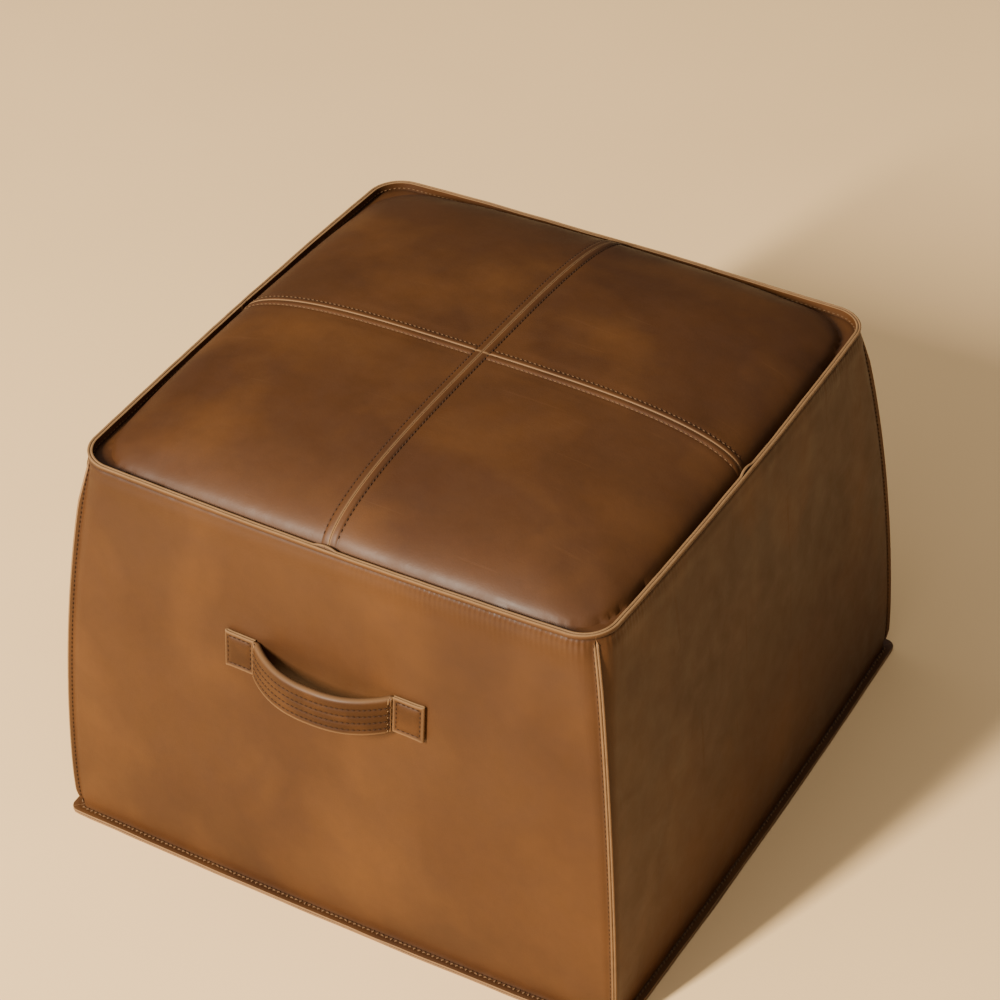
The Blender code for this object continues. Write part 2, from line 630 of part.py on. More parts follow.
def make_filling():
    """A foam block, a layer of wadding wrapped round it and a thicker one on its top."""
    inner = FILLING_INSET + WADDING_THICKNESS + LAYER_SPACE
    height = FOAM_TOP - FILLING_LEVEL
    base = -filling_outline(FILLING_LEVEL, inner, -STRAIGHT_SHARE).y
    top = -filling_outline(FOAM_TOP, inner, -STRAIGHT_SHARE).y
    foam = bmesh.new()
    bmesh.ops.create_cone(
        foam,
        cap_ends=True,
        segments=4,
        radius1=base * math.sqrt(2),
        radius2=top * math.sqrt(2),
        depth=height,
        matrix=Matrix.Rotation(math.pi / 4, 4, "Z"),
    )
    upright = [edge for edge in foam.edges if abs(edge.verts[0].co.z - edge.verts[1].co.z) > height / 2]
    bmesh.ops.bevel(
        foam,
        geom=upright,
        offset=RIM_CORNER_RADIUS - FILLING_INSET,
        affect="EDGES",
        segments=3,
        profile=0.5,
        material=-1,
    )
    core = add_part("foam_core", to_mesh(foam, "foam_core"), "foam")
    core.location.z = FILLING_LEVEL + height / 2

    # The wadding leans with the wall, so its inner edge hangs lower than its outer one.
    slope = (FOOT_HALF - RIM_HALF + BELLY * math.pi) / (RIM_LEVEL - FOOT_LEVEL)
    lowest = FILLING_LEVEL + WADDING_THICKNESS * slope

    def wrap(column, row):
        index, step = divmod(column, 2 * FILLING_STEPS)
        level = between(lowest, FOAM_TOP, row / FILLING_WALL_STEPS)
        point = filling_outline(level, FILLING_INSET, step / FILLING_STEPS - 1)
        return Matrix.Rotation(index * math.pi / 2, 3, "Z") @ point

    shape = bmesh.new()
    shape.from_mesh(sheet("wadding_wrap", 8 * FILLING_STEPS, FILLING_WALL_STEPS, wrap))
    bmesh.ops.remove_doubles(shape, verts=shape.verts, dist=GAP / 10)
    thicken(add_part("wadding_wrap", to_mesh(shape, "wadding_wrap"), "wadding"), WADDING_THICKNESS, False)

    def over(column, row):
        return filling_top(column - FILLING_STEPS, row - FILLING_STEPS, FILLING_INSET)

    shape = bmesh.new()
    shape.from_mesh(sheet("topper", 2 * FILLING_STEPS, 2 * FILLING_STEPS, over))
    copied = bmesh.ops.extrude_face_region(shape, geom=shape.faces[:], use_keep_orig=True)
    for point in copied["geom"]:
        if isinstance(point, bmesh.types.BMVert):
            point.co.z = FOAM_TOP + LAYER_SPACE
    bmesh.ops.recalc_face_normals(shape, faces=shape.faces)
    add_part("wadding_topper", to_mesh(shape, "wadding_topper"), "wadding")


def main():
    clear_scene()
    make_side_panels()
    make_top_panels()
    make_seam_stays()
    make_base_panels()
    make_handle()
    make_zip()
    make_bag()
    make_filling()


main()
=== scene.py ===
"""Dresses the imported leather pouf: sewn panels, raised raw-edge hems, stitches, handle, zip and filling."""

import json
import math

import bmesh
import bpy
import numpy as np
from bpy.props import FloatProperty, FloatVectorProperty
from bpy.types import Operator, Panel, PropertyGroup
from mathutils import Matrix, Vector, noise


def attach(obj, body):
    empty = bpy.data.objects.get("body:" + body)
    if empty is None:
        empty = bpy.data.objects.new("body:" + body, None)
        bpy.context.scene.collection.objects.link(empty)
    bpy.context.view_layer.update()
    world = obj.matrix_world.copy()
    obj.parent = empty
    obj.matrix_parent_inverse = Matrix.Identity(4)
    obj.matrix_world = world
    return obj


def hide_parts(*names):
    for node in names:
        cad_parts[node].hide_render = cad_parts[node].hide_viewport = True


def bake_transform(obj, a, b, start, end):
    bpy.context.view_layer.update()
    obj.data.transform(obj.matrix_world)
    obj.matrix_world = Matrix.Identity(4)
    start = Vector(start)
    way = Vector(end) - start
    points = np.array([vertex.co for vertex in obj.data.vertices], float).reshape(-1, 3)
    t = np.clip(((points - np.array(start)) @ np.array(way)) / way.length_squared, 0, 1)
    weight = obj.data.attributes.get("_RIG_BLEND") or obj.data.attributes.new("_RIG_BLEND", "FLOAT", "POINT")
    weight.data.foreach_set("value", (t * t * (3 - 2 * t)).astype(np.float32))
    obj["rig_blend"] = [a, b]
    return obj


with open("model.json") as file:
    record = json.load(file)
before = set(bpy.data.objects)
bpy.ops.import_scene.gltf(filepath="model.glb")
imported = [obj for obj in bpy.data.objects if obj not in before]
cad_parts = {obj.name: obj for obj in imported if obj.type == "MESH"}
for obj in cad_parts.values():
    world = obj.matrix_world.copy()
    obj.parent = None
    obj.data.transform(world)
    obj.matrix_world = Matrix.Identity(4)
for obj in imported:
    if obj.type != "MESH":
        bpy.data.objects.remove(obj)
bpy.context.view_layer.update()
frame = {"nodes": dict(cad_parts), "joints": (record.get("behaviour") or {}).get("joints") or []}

bl_info = {
    "name": "Leather Pouf",
    "version": (1, 0, 0),
    "blender": (4, 5, 0),
    "location": "View3D > Sidebar > Pouf",
    "description": "Dresses a square pouf in sewn leather, with its hems, stitches, handle and zip",
    "category": "Add Mesh",
}

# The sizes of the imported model, in metres
GAP = 0.0003
LEATHER = 0.002
BASE_HALF = 0.280
FOOT_HEM = 0.010
FOOT_HALF = BASE_HALF - FOOT_HEM - LEATHER
FOOT_LEVEL = LEATHER + GAP
RIM_HALF = 0.245
RIM_HEIGHT = 0.391
RIM_LEVEL = 0.381
RIM_RADIUS = 0.030
CORNER_RADIUS = 0.012
FOOT_RADIUS = 0.006
CORNER_OPENING = 5
CORNER_HEM = 0.004
SMALLEST_HEM = 0.0006
SEAM_FADE_FOOT = 0.06
SEAM_FADE_RIM = 0.10
SIDE_BOW = 0.0035
BELLY = 0.004
CROWN_RISE = 0.041
HANDLE_HEIGHT = 0.2585
HANDLE_TILT = math.radians(1.2)
STRAP_WIDTH = 0.034
GRIP_LENGTH = 0.133
GRIP_THICKNESS = 0.007
GRIP_REACH = 0.021
GRIP_DROOP = 0.005
GRIP_ARCH = 2.4
GRIP_FLAT = 0.004
TAB_LENGTH = 0.029
TAB_SEAT = 0.0006
TAB_SEWING = 0.0034  # from the edge of a strap end to its box of stitches
ZIP_OFFSET = 0.130
ZIP_LENGTH = 0.360
ZIP_SLOT = 0.014
ZIP_SEWING = (0.003, 0.0075)  # from the slot to its rows of stitches
COIL_LEVEL = 0.0033
COIL_THICKNESS = 0.0013
COIL_WIDTH = 0.0023
COIL_WIRE = 0.00026
COIL_TURNS = 220
CHAIN_GAP = 0.0014
STOP_LENGTH = 0.005

# The crown of the top, over the valley behind its hem
VALLEY = RIM_LEVEL + LEATHER
VALLEY_HALF = RIM_HALF - GAP - LEATHER
VALLEY_RADIUS = RIM_RADIUS - GAP - LEATHER
CROWN_FLATNESS = 3.4
CROWN_FULLNESS = 0.46
CROWN_EDGE = 0.988  # the share of the way out at which the crown meets the valley
CROWN_ROUNDING = 6

# Seams
STITCH = 0.0045  # from one hole to the next
TOPSTITCH = 0.00665  # from a cross seam to its rows of topstitching
STRIP_HEIGHT = 0.0007  # how far the turned-in allowances lift the leather between those rows
SEAM_STATIONS = (0.0002, 0.0006, 0.0011, 0.0017, 0.00225, 0.0034, 0.0045, 0.0056, 0.0062, 0.00675, 0.0073, 0.0079)
HALF_STITCH = STITCH / 2

# The walls' rows, from the raw edge of the lying hem to the raw edge of the standing one
FOOT_ROWS = (0.0100, 0.0090, 0.0072, 0.0056, 0.0044, 0.0036, 0.0026, 0.0014)
FOOT_STITCHES = 0.0044
LOW_ROWS = (0.0050, 0.0062, 0.0080, 0.0105, 0.014, 0.019, 0.025, 0.032)
HIGH_ROWS = (0.352, 0.358, 0.363, 0.3675, 0.371, 0.374, 0.3768, 0.3792, 0.3812, 0.3828, 0.3841, 0.3851, 0.3859)
RIM_ROWS = (0.3866, 0.3873, 0.3882, 0.3895, 0.3910)
CREASE = RIM_ROWS[0]  # where a wall turns up into its standing hem, on the outside
WALL_PITCH = 0.0075
WALL_COLUMNS = 214  # from the middle of a wall to its corner, four to a stitch
FLANGE_COLUMNS = 5
EDGE_SWELL = 0.0004  # how far the middle of a raw edge stands out

# How the stuffed leather is worked out
BLOW_FRAMES = 20
EASING_PASSES = 8
BLOW_CELLS = 44
PRESSURE = 4.0
TOP_START = 0.0020  # how much lower the top's leather starts, for the stuffing to lift
WALL_START = 0.6  # how far in a wall starts, as a share of its fullness

OUTWARD = {"front": 0, "right": 1, "back": 2, "left": 3}
QUARTERS = ("back_right", "back_left", "front_left", "front_right")

# Colour of rubbed wear, also used as painted highlight along seam folds, hem edges and the grip's fold.
RUBBED_AND_HIGHLIGHT_COLOUR = (0.220, 0.120, 0.055)
# Colour of the painted shade in creases, sunk stitch rows and the gaps between layers of leather.
PAINTED_SHADE_COLOUR = (0.010, 0.004, 0.002)


def between(low, high, share):
    return low + (high - low) * share


def step_up(low, high, value):
    """0 below low, 1 above high, and a smooth rise between them."""
    share = min(max((value - low) / (high - low), 0.0), 1.0)
    return share * share * (3 - 2 * share)


def bump(value, middle, width):
    return math.exp(-(((value - middle) / width) ** 2))


def quarter_turn(index):
    return Matrix.Rotation(index * math.pi / 2, 3, "Z")


def lumps(point, scale, seed):
    """Smooth noise, about -1 to 1, in lumps of 1 / scale metres."""
    return noise.noise(point * scale + Vector((seed * 17.3, seed * 5.1, seed * 9.7)))


# ---------------------------------------------------------------- settings


def length_setting(name, description, default, low, high):
    return FloatProperty(
        name=name, description=description, default=default, min=low, max=high, subtype="DISTANCE", unit="LENGTH"
    )


class PoufSizes(PropertyGroup):
    cloud: length_setting("Cloud size", "Width of the cloudy patches in the leather's colour", 0.16, 0.02, 0.6)
    thread: length_setting("Thread", "Thickness of the sewing thread", 0.00085, 0.0003, 0.002)
    wall_fullness: length_setting("Wall fullness", "How far the stuffing may push a wall out", 0.0035, 0.0, 0.010)
    top_fullness: length_setting("Top fullness", "How far the stuffing may push the top up", 0.0055, 0.0, 0.010)


def colour_setting(name, description, default):
    return FloatVectorProperty(
        name=name, description=description, default=default, min=0.0, max=1.0, size=3, subtype="COLOR"
    )


class PoufColours(PropertyGroup):
    deep: colour_setting("Deep tan", "Darkest patches of the leather", (0.040, 0.0133, 0.0033))
    tan: colour_setting("Tan", "Main colour of the leather", (0.060, 0.0213, 0.0050))
    amber: colour_setting("Amber", "Lightest patches of the leather", (0.092, 0.0335, 0.0069))
    edge: colour_setting("Raw edge", "Cut edge of the leather", (0.175, 0.092, 0.038))
    suede: colour_setting("Suede", "Flesh side of the leather", (0.120, 0.062, 0.032))
    brown_thread: colour_setting("Brown thread", "Topstitching thread", (0.034, 0.014, 0.0058))
    # The tan thread is also a lighter copy of the brown thread on the short cross seam: painted highlight for its
    # glint.
    tan_thread: colour_setting("Tan thread", "Thread of the hems", (0.125, 0.064, 0.028))
    floor: colour_setting("Floor", "Pale floor", (0.800, 0.530, 0.262))


# ---------------------------------------------------------------- materials


def tuned(node, **values):
    """Sets a node's inputs, named in lower case with underscores, and gives the node back."""
    for name, value in values.items():
        socket = next(s for s in node.inputs if s.name.lower().replace(" ", "_") == name and s.enabled)
        socket.default_value = (*value, 1.0) if socket.type == "RGBA" else value
    return node


def make(tree, kind, **values):
    return tuned(tree.nodes.new("ShaderNode" + kind), **values)


def calculate(tree, operation, first, second=None):
    """A Math node. Each operand is a number or the output of another node."""
    node = make(tree, "Math")
    node.operation = operation
    for socket, value in zip(node.inputs, (first, second)):
        if isinstance(value, (int, float)):
            socket.default_value = value
        elif value is not None:
            tree.links.new(value, socket)
    return node.outputs[0]


def mixed(tree, factor, first, second, blend="MIX"):
    """A colour Mix node. The factor and the colours are constants or outputs."""
    node = make(tree, "Mix")
    node.data_type = "RGBA"
    node.blend_type = blend
    for socket, value in zip((node.inputs[0], node.inputs[6], node.inputs[7]), (factor, first, second)):
        if isinstance(value, bpy.types.NodeSocket):
            tree.links.new(value, socket)
        else:
            socket.default_value = (*value, 1.0) if isinstance(value, tuple) else value
    return node.outputs[2]


def spread(tree, value, low, high, out_low=0.0, out_high=1.0):
    """Stretches a value from low..high to another range."""
    node = make(tree, "MapRange")
    for socket, number in zip(node.inputs[1:5], (low, high, out_low, out_high)):
        socket.default_value = number
    tree.links.new(value, node.inputs[0])
    return node.outputs[0]


def cloudy(tree, vector, scale, detail=3.0, distortion=0.0, roughness=0.5):
    node = make(tree, "TexNoise", scale=scale, detail=detail, distortion=distortion, roughness=roughness)
    tree.links.new(vector, node.inputs["Vector"])
    return node.outputs["Fac"]


def scaled(tree, vector, factor):
    node = make(tree, "VectorMath")
    node.operation = "SCALE"
    tree.links.new(vector, node.inputs[0])
    tree.links.new(factor, node.inputs["Scale"])
    return node.outputs[0]


def grey(tree, value):
    node = make(tree, "CombineColor")
    for socket in node.inputs[:3]:
        tree.links.new(value, socket)
    return node.outputs[0]


def stretched(tree, vector, scale, turn=(0.0, 0.0, 0.0)):
    node = make(tree, "Mapping", scale=scale, rotation=turn)
    tree.links.new(vector, node.inputs["Vector"])
    return node.outputs[0]


def new_group(name, inputs, outputs):
    """A shader node group with named sockets, and its input and output nodes."""
    group = bpy.data.node_groups.new(name, "ShaderNodeTree")
    for socket_name, kind, value in inputs:
        socket = group.interface.new_socket(socket_name, in_out="INPUT", socket_type="NodeSocket" + kind)
        if value is not None:
            socket.default_value = (*value, 1.0) if kind == "Color" else value
    for socket_name, kind in outputs:
        group.interface.new_socket(socket_name, in_out="OUTPUT", socket_type="NodeSocket" + kind)
    return group, group.nodes.new("NodeGroupInput").outputs, group.nodes.new("NodeGroupOutput").inputs


def make_cloud_group():
    """Cloudy patches of aniline dye: dark, middle and light, with fine mottling over them."""
    group, given, result = new_group(
        "dye_clouds",
        [
            ("Vector", "Vector", None),
            ("Deep", "Color", (0.1, 0.04, 0.01)),
            ("Middle", "Color", (0.2, 0.08, 0.03)),
            ("Light", "Color", (0.3, 0.12, 0.04)),
            ("Size", "Float", 0.15),
        ],
        [("Color", "Color"), ("Cloud", "Float")],
    )
    place = scaled(group, given["Vector"], calculate(group, "DIVIDE", 1.0, given["Size"]))
    broad = spread(group, cloudy(group, place, 0.85, 2.0, 0.2, 0.45), 0.30, 0.70)
    patches = cloudy(group, stretched(group, place, (1.0, 1.2, 0.8)), 1.5, 3.0, 0.3, 0.45)
    patches = spread(group, patches, 0.46, 0.78)
    flecks = cloudy(group, place, 14.0, 5.0, 0.2, 0.65)
    base = mixed(group, broad, given["Deep"], given["Middle"])
    base = mixed(group, calculate(group, "MULTIPLY", patches, 0.75), base, given["Light"])
    tone = grey(group, spread(group, flecks, 0.25, 0.75, 0.94, 1.06))
    group.links.new(mixed(group, 1.0, base, tone, "MULTIPLY"), result["Color"])
    group.links.new(broad, result["Cloud"])
    return group


def make_grain_group():
    """Height of smooth hide: pores, soft creases and a few long scratches."""
    group, given, result = new_group(
        "hide_grain",
        [("Vector", "Vector", None), ("Grain", "Float", 1.0), ("Scratches", "Float", 1.0)],
        [("Height", "Float"), ("Scratch", "Float")],
    )
    vector = given["Vector"]
    pebbles = make(group, "TexVoronoi", scale=820.0, randomness=1.0)
    pebbles.feature = "SMOOTH_F1"
    group.links.new(vector, pebbles.inputs["Vector"])
    creases = cloudy(group, vector, 160.0, 5.0, 0.8, 0.6)
    soft = cloudy(group, vector, 26.0, 3.0, 0.4, 0.5)
    fine = calculate(group, "MULTIPLY", pebbles.outputs["Distance"], 0.35)
    height = calculate(group, "ADD", fine, calculate(group, "MULTIPLY", creases, 0.9))
    height = calculate(group, "MULTIPLY", height, given["Grain"])
    height = calculate(group, "ADD", height, calculate(group, "MULTIPLY", soft, 2.2))
    marks = []
    for turn, scale in (((0.4, 0.9, 0.3), (9.0, 150.0, 9.0)), ((1.1, 0.2, 1.9), (7.0, 190.0, 7.0))):
        line = cloudy(group, stretched(group, vector, scale, turn), 1.0, 1.0, 0.3, 0.4)
        marks.append(spread(group, line, 0.735, 0.78))
    scratch = calculate(group, "MULTIPLY", calculate(group, "MAXIMUM", *marks), given["Scratches"])
    height = calculate(group, "SUBTRACT", height, calculate(group, "MULTIPLY", scratch, 0.5))
    group.links.new(height, result["Height"])
    group.links.new(scratch, result["Scratch"])
    return group


def make_fibre_group():
    """Fibres of cut or split leather, felt and foam: a mottled shade and a matching height."""
    group, given, result = new_group(
        "fibres",
        [("Vector", "Vector", None), ("Scale", "Float", 900.0), ("Contrast", "Float", 0.3)],
        [("Shade", "Color"), ("Height", "Float")],
    )
    place = scaled(group, given["Vector"], given["Scale"])
    fuzz = cloudy(group, place, 1.0, 6.0, 0.6, 0.7)
    blots = cloudy(group, place, 0.08, 2.0, 0.0, 0.5)
    both = calculate(group, "ADD", calculate(group, "MULTIPLY", fuzz, 0.6), calculate(group, "MULTIPLY", blots, 0.4))
    swing = calculate(group, "MULTIPLY", calculate(group, "SUBTRACT", both, 0.5), given["Contrast"])
    level = calculate(group, "ADD", calculate(group, "MULTIPLY", swing, 3.0), 1.0)
    group.links.new(grey(group, level), result["Shade"])
    group.links.new(fuzz, result["Height"])
    return group


def make_weave_group():
    """A plain weave: height of crossing yarns, and a shade that darkens between them."""
    group, given, result = new_group(
        "plain_weave",
        [("Vector", "Vector", None), ("Yarns per metre", "Float", 1200.0)],
        [("Shade", "Color"), ("Height", "Float")],
    )
    place = scaled(group, given["Vector"], calculate(group, "MULTIPLY", given["Yarns per metre"], math.pi))
    parts = make(group, "SeparateXYZ")
    group.links.new(place, parts.inputs[0])
    waves = [calculate(group, "SINE", axis) for axis in parts.outputs]
    first = calculate(group, "MULTIPLY", waves[0], waves[1])
    second = calculate(group, "MULTIPLY", waves[1], waves[2])
    third = calculate(group, "MULTIPLY", waves[0], waves[2])
    height = calculate(group, "ADD", calculate(group, "ADD", first, second), third)
    group.links.new(grey(group, spread(group, height, -1.5, 1.5, 0.82, 1.08)), result["Shade"])
    group.links.new(height, result["Height"])
    return group


def placed(tree, kind, vector, **values):
    """The outputs of one of the shared node groups, set to these values and placed by a vector."""
    node = tree.nodes.new("ShaderNodeGroup")
    node.node_tree = effects[kind]
    tree.links.new(vector, node.inputs["Vector"])
    return tuned(node, **values).outputs


def new_material(name, metallic=0.0, **values):
    """A material with its node tree and its shader, and the shader's own values set."""
    material = bpy.data.materials.new(name)
    material.use_nodes = True
    tree = material.node_tree
    shader = tuned(tree.nodes["Principled BSDF"], metallic=metallic, **values)
    return material, tree, shader


def surface_vector(tree, uv=False):
    return make(tree, "TexCoord").outputs["UV" if uv else "Object"]


def mixed_where_marked(tree, colour, layer, amount, other):
    """Mixes another colour in where a layer of the mesh marks it."""
    marks = make(tree, "Attribute")
    marks.attribute_name = layer
    return mixed(tree, calculate(tree, "MULTIPLY", marks.outputs["Fac"], amount), colour, other)


def bumped(tree, shader, height, strength, distance):
    node = make(tree, "Bump", strength=strength, distance=distance)
    tree.links.new(height, node.inputs["Height"])
    tree.links.new(node.outputs[0], shader.inputs["Normal"])


def hide_material(name, colours, cloud, uv=False, gloss=0.25):
    """Semi-aniline leather: cloudy dye, fine grain, scratches, folds lightened by rubbing and by painted highlight,
    and painted shade in creases and stitch rows.
    """
    material, tree, shader = new_material(name, coat_roughness=0.36, coat_ior=1.4, specular_ior_level=gloss)
    vector = surface_vector(tree, uv)
    dye = placed(tree, "clouds", vector, deep=colours[0], middle=colours[1], light=colours[2], size=cloud)
    grain = placed(tree, "grain", vector, grain=1.0, scratches=0.5)
    scratched = calculate(tree, "MULTIPLY", grain["Scratch"], 0.18)
    colour = mixed(tree, scratched, dye["Color"], colours[2])
    # Rubbed wear and painted highlight lighten the marked folds and edges.
    colour = mixed_where_marked(tree, colour, "rub_and_highlight", 0.75, RUBBED_AND_HIGHLIGHT_COLOUR)
    # Painted shade darkens the marked creases, stitch rows and gaps.
    colour = mixed_where_marked(tree, colour, "shade", 0.7, PAINTED_SHADE_COLOUR)
    tree.links.new(colour, shader.inputs["Base Color"])
    rough = spread(tree, cloudy(tree, vector, 38.0, 4.0, 0.3, 0.6), 0.3, 0.7, 0.47, 0.59)
    rough = calculate(tree, "ADD", rough, calculate(tree, "MULTIPLY", grain["Scratch"], 0.1))
    tree.links.new(rough, shader.inputs["Roughness"])
    sheen = spread(tree, cloudy(tree, vector, 9.0, 2.0, 0.2, 0.5), 0.35, 0.65, 0.0, 0.08)
    tree.links.new(sheen, shader.inputs["Coat Weight"])
    bumped(tree, shader, grain["Height"], 0.32, 0.00035)
    return material


def fibre_material(name, colour, scale, contrast, roughness, strength, uv=False):
    material, tree, shader = new_material(name, roughness=roughness, specular_ior_level=0.25)
    fibres = placed(tree, "fibres", surface_vector(tree, uv), scale=scale, contrast=contrast)
    tree.links.new(mixed(tree, 1.0, colour, fibres["Shade"], "MULTIPLY"), shader.inputs["Base Color"])
    bumped(tree, shader, fibres["Height"], strength, 0.0004)
    return material


def weave_material(name, colour, yarns):
    material, tree, shader = new_material(name, roughness=0.85, sheen_weight=0.2, specular_ior_level=0.3)
    vector = surface_vector(tree)
    weave = placed(tree, "weave", vector, yarns_per_metre=yarns)
    fibres = placed(tree, "fibres", vector, scale=260.0, contrast=0.15)
    tinted = mixed(tree, 1.0, colour, weave["Shade"], "MULTIPLY")
    tree.links.new(mixed(tree, 1.0, tinted, fibres["Shade"], "MULTIPLY"), shader.inputs["Base Color"])
    bumped(tree, shader, weave["Height"], 0.5, 0.0002)
    return material


def thread_material(name, colour):
    """Waxed, twisted thread: diagonal plies along the stitch's own UV map."""
    material, tree, shader = new_material(name, roughness=0.7, specular_ior_level=0.15)
    vector = surface_vector(tree, True)
    plies = make(tree, "TexWave", scale=520.0, distortion=0.6)
    plies.bands_direction = "DIAGONAL"
    tree.links.new(vector, plies.inputs["Vector"])
    shade = mixed(tree, plies.outputs["Fac"], tuple(c * 0.6 for c in colour), tuple(c * 1.15 for c in colour))
    tree.links.new(shade, shader.inputs["Base Color"])
    bumped(tree, shader, plies.outputs["Fac"], 0.6, 0.00012)
    return material


def metal_material(name, colour):
    """Satin brass, a little tarnished and brushed along its length."""
    material, tree, shader = new_material(name, metallic=1.0)
    vector = surface_vector(tree)
    brushed = cloudy(tree, stretched(tree, vector, (120.0, 2600.0, 2600.0)), 1.0, 2.0, 0.0, 0.5)
    tarnish = spread(tree, cloudy(tree, vector, 220.0, 4.0, 0.4, 0.6), 0.45, 0.7)
    dull = tuple(c * 0.45 for c in colour)
    tree.links.new(mixed(tree, calculate(tree, "MULTIPLY", tarnish, 0.55), colour, dull), shader.inputs["Base Color"])
    tree.links.new(spread(tree, brushed, 0.3, 0.7, 0.24, 0.42), shader.inputs["Roughness"])
    bumped(tree, shader, brushed, 0.25, 0.00008)
    return material


def plastic_material(name, colour):
    """Moulded nylon, with a faint mottle."""
    material, tree, shader = new_material(name, roughness=0.38)
    mottle = cloudy(tree, surface_vector(tree), 900.0, 3.0, 0.0, 0.6)
    light = tuple(c * 1.5 for c in colour)
    tree.links.new(mixed(tree, mottle, colour, light), shader.inputs["Base Color"])
    bumped(tree, shader, mottle, 0.2, 0.0001)
    return material


# Node groups and finishes, made once by the first operator that asks for a finish
effects = {}
finishes = {}


def finish(name):
    if not finishes:
        make_finishes()
    return finishes[name]


def make_finishes():
    colours = bpy.context.scene.pouf_colours
    sizes = bpy.context.scene.pouf_sizes
    effects.update(
        clouds=make_cloud_group(), grain=make_grain_group(), fibres=make_fibre_group(), weave=make_weave_group()
    )
    dyes = [tuple(colours.deep), tuple(colours.tan), tuple(colours.amber)]
    strap = [tuple(c * 0.80 for c in dye) for dye in dyes]
    finishes.update(
        hide=hide_material("hide", dyes, sizes.cloud),
        strap_hide=hide_material("strap_hide", strap, sizes.cloud * 0.25, uv=True, gloss=0.18),
        raw_edge=fibre_material("raw_edge", tuple(colours.edge), 1500.0, 0.35, 0.75, 0.5),
        strap_edge=fibre_material("strap_edge", tuple(colours.edge), 1500.0, 0.3, 0.7, 0.5, uv=True),
        suede=fibre_material("suede", tuple(colours.suede), 1100.0, 0.35, 0.9, 0.7),
        brown_thread=thread_material("brown_thread", tuple(colours.brown_thread)),
        tan_thread=thread_material("tan_thread", tuple(colours.tan_thread)),
        cotton=weave_material("cotton_cloth", (0.60, 0.54, 0.43), 1100.0),
        tape=weave_material("zip_tape_cloth", (0.060, 0.030, 0.018), 1600.0),
        wadding=fibre_material("wadding_fluff", (0.78, 0.77, 0.74), 300.0, 0.15, 0.95, 1.0),
        foam=fibre_material("foam_cells", (0.74, 0.66, 0.42), 1300.0, 0.35, 0.9, 1.0),
        brass=metal_material("satin_brass", (0.56, 0.39, 0.17)),
        nylon=plastic_material("nylon_coil", (0.045, 0.025, 0.016)),
    )


# ---------------------------------------------------------------- sheets


def grid_of(columns, rows, place):
    """A grid of faces, each point placed by its column and row."""
    shape = bmesh.new()
    bmesh.ops.create_grid(shape, x_segments=columns, y_segments=rows, size=0.5)
    for point in shape.verts:
        point.co = place(round((point.co.x + 0.5) * columns), round((point.co.y + 0.5) * rows))
    return shape


def to_object(name, shape, materials):
    mesh = bpy.data.meshes.new(name)
    shape.to_mesh(mesh)
    shape.free()
    piece = bpy.data.objects.new(name, mesh)
    bpy.context.scene.collection.objects.link(piece)
    for material in materials:
        mesh.materials.append(finish(material))
    return piece


def settled(piece):
    """Turns a piece's modifiers into mesh."""
    graph = bpy.context.evaluated_depsgraph_get()
    whole = piece.evaluated_get(graph)
    mesh = bpy.data.meshes.new_from_object(whole, preserve_all_data_layers=True, depsgraph=graph)
    piece.modifiers.clear()
    old = piece.data
    piece.data = mesh
    bpy.data.meshes.remove(old)
    mesh.name = piece.name
    return piece


def thickened(piece, thickness):
    """Gives a sheet its thickness below its grain side, with its edge and its flesh side in their own finishes."""
    solidify = piece.modifiers.new("thickness", "SOLIDIFY")
    solidify.thickness = thickness
    solidify.offset = -1.0
    solidify.use_quality_normals = True
    solidify.material_offset_rim = 1
    solidify.material_offset = 2
    settled(piece)
    round_edges(piece, EDGE_SWELL)
    return piece


def leather_piece(name, points, materials, thickness=LEATHER, marks=None, uv=None):
    """A sheet of leather from a grid of points on its grain side, with rounded raw edges.

    Marks holds, for each point, how much rubbed wear and painted highlight and how much painted shade it has. Uv
    holds its place on the strap.
    """
    columns = len(points) - 1
    rows = len(points[0]) - 1
    shape = grid_of(columns, rows, lambda column, row: points[column][row])
    rub_and_highlight = shape.verts.layers.float.new("rub_and_highlight")
    shade = shape.verts.layers.float.new("shade")
    cells = [(index % (columns + 1), index // (columns + 1)) for index in range(len(shape.verts))]
    for (column, row), point in zip(cells, shape.verts):
        if (points[column][row] - point.co).length > 1e-6:
            raise RuntimeError(f"{name}: the grid's points aren't in the order of its columns")
        if marks:
            point[rub_and_highlight], point[shade] = marks[column][row]
    if uv:
        layer = shape.loops.layers.uv.new("UVMap")
        for face in shape.faces:
            for loop in face.loops:
                column, row = cells[loop.vert.index]
                loop[layer].uv = uv[column][row]
    for face in shape.faces:
        face.smooth = True
    bmesh.ops.remove_doubles(shape, verts=shape.verts, dist=1e-5)
    return thickened(to_object(name, shape, materials), thickness)


def round_edges(piece, swell):
    """Rounds a sheet's raw edges: the band round its thickness is divided, and its middle swells out."""
    shape = bmesh.new()
    shape.from_mesh(piece.data)
    outward = shape.verts.layers.float_vector.new("outward")
    depth = shape.verts.layers.float.new("depth")
    for face in shape.faces:
        for point in face.verts:
            if face.material_index == 1:
                point[outward] += face.normal
            elif face.material_index == 2:
                point[depth] = 1.0
    across = []
    for edge in shape.edges:
        on_rim = len(edge.link_faces) == 2 and all(face.material_index == 1 for face in edge.link_faces)
        if on_rim and edge.verts[0][depth] != edge.verts[1][depth]:
            across.append(edge)
    before = set(shape.verts)
    bmesh.ops.subdivide_edges(shape, edges=across, cuts=3, use_grid_fill=True)
    for point in shape.verts:
        if point not in before:
            point.co += point[outward].normalized() * swell * math.sin(math.pi * point[depth])
    shape.verts.layers.float_vector.remove(outward)
    shape.verts.layers.float.remove(shape.verts.layers.float["depth"])
    shape.normal_update()
    for face in shape.faces:
        face.smooth = True
    for edge in shape.edges:
        edge.smooth = edge.calc_face_angle(0.0) < math.radians(50.0)
    shape.to_mesh(piece.data)
    shape.free()


# ---------------------------------------------------------------- stuffing


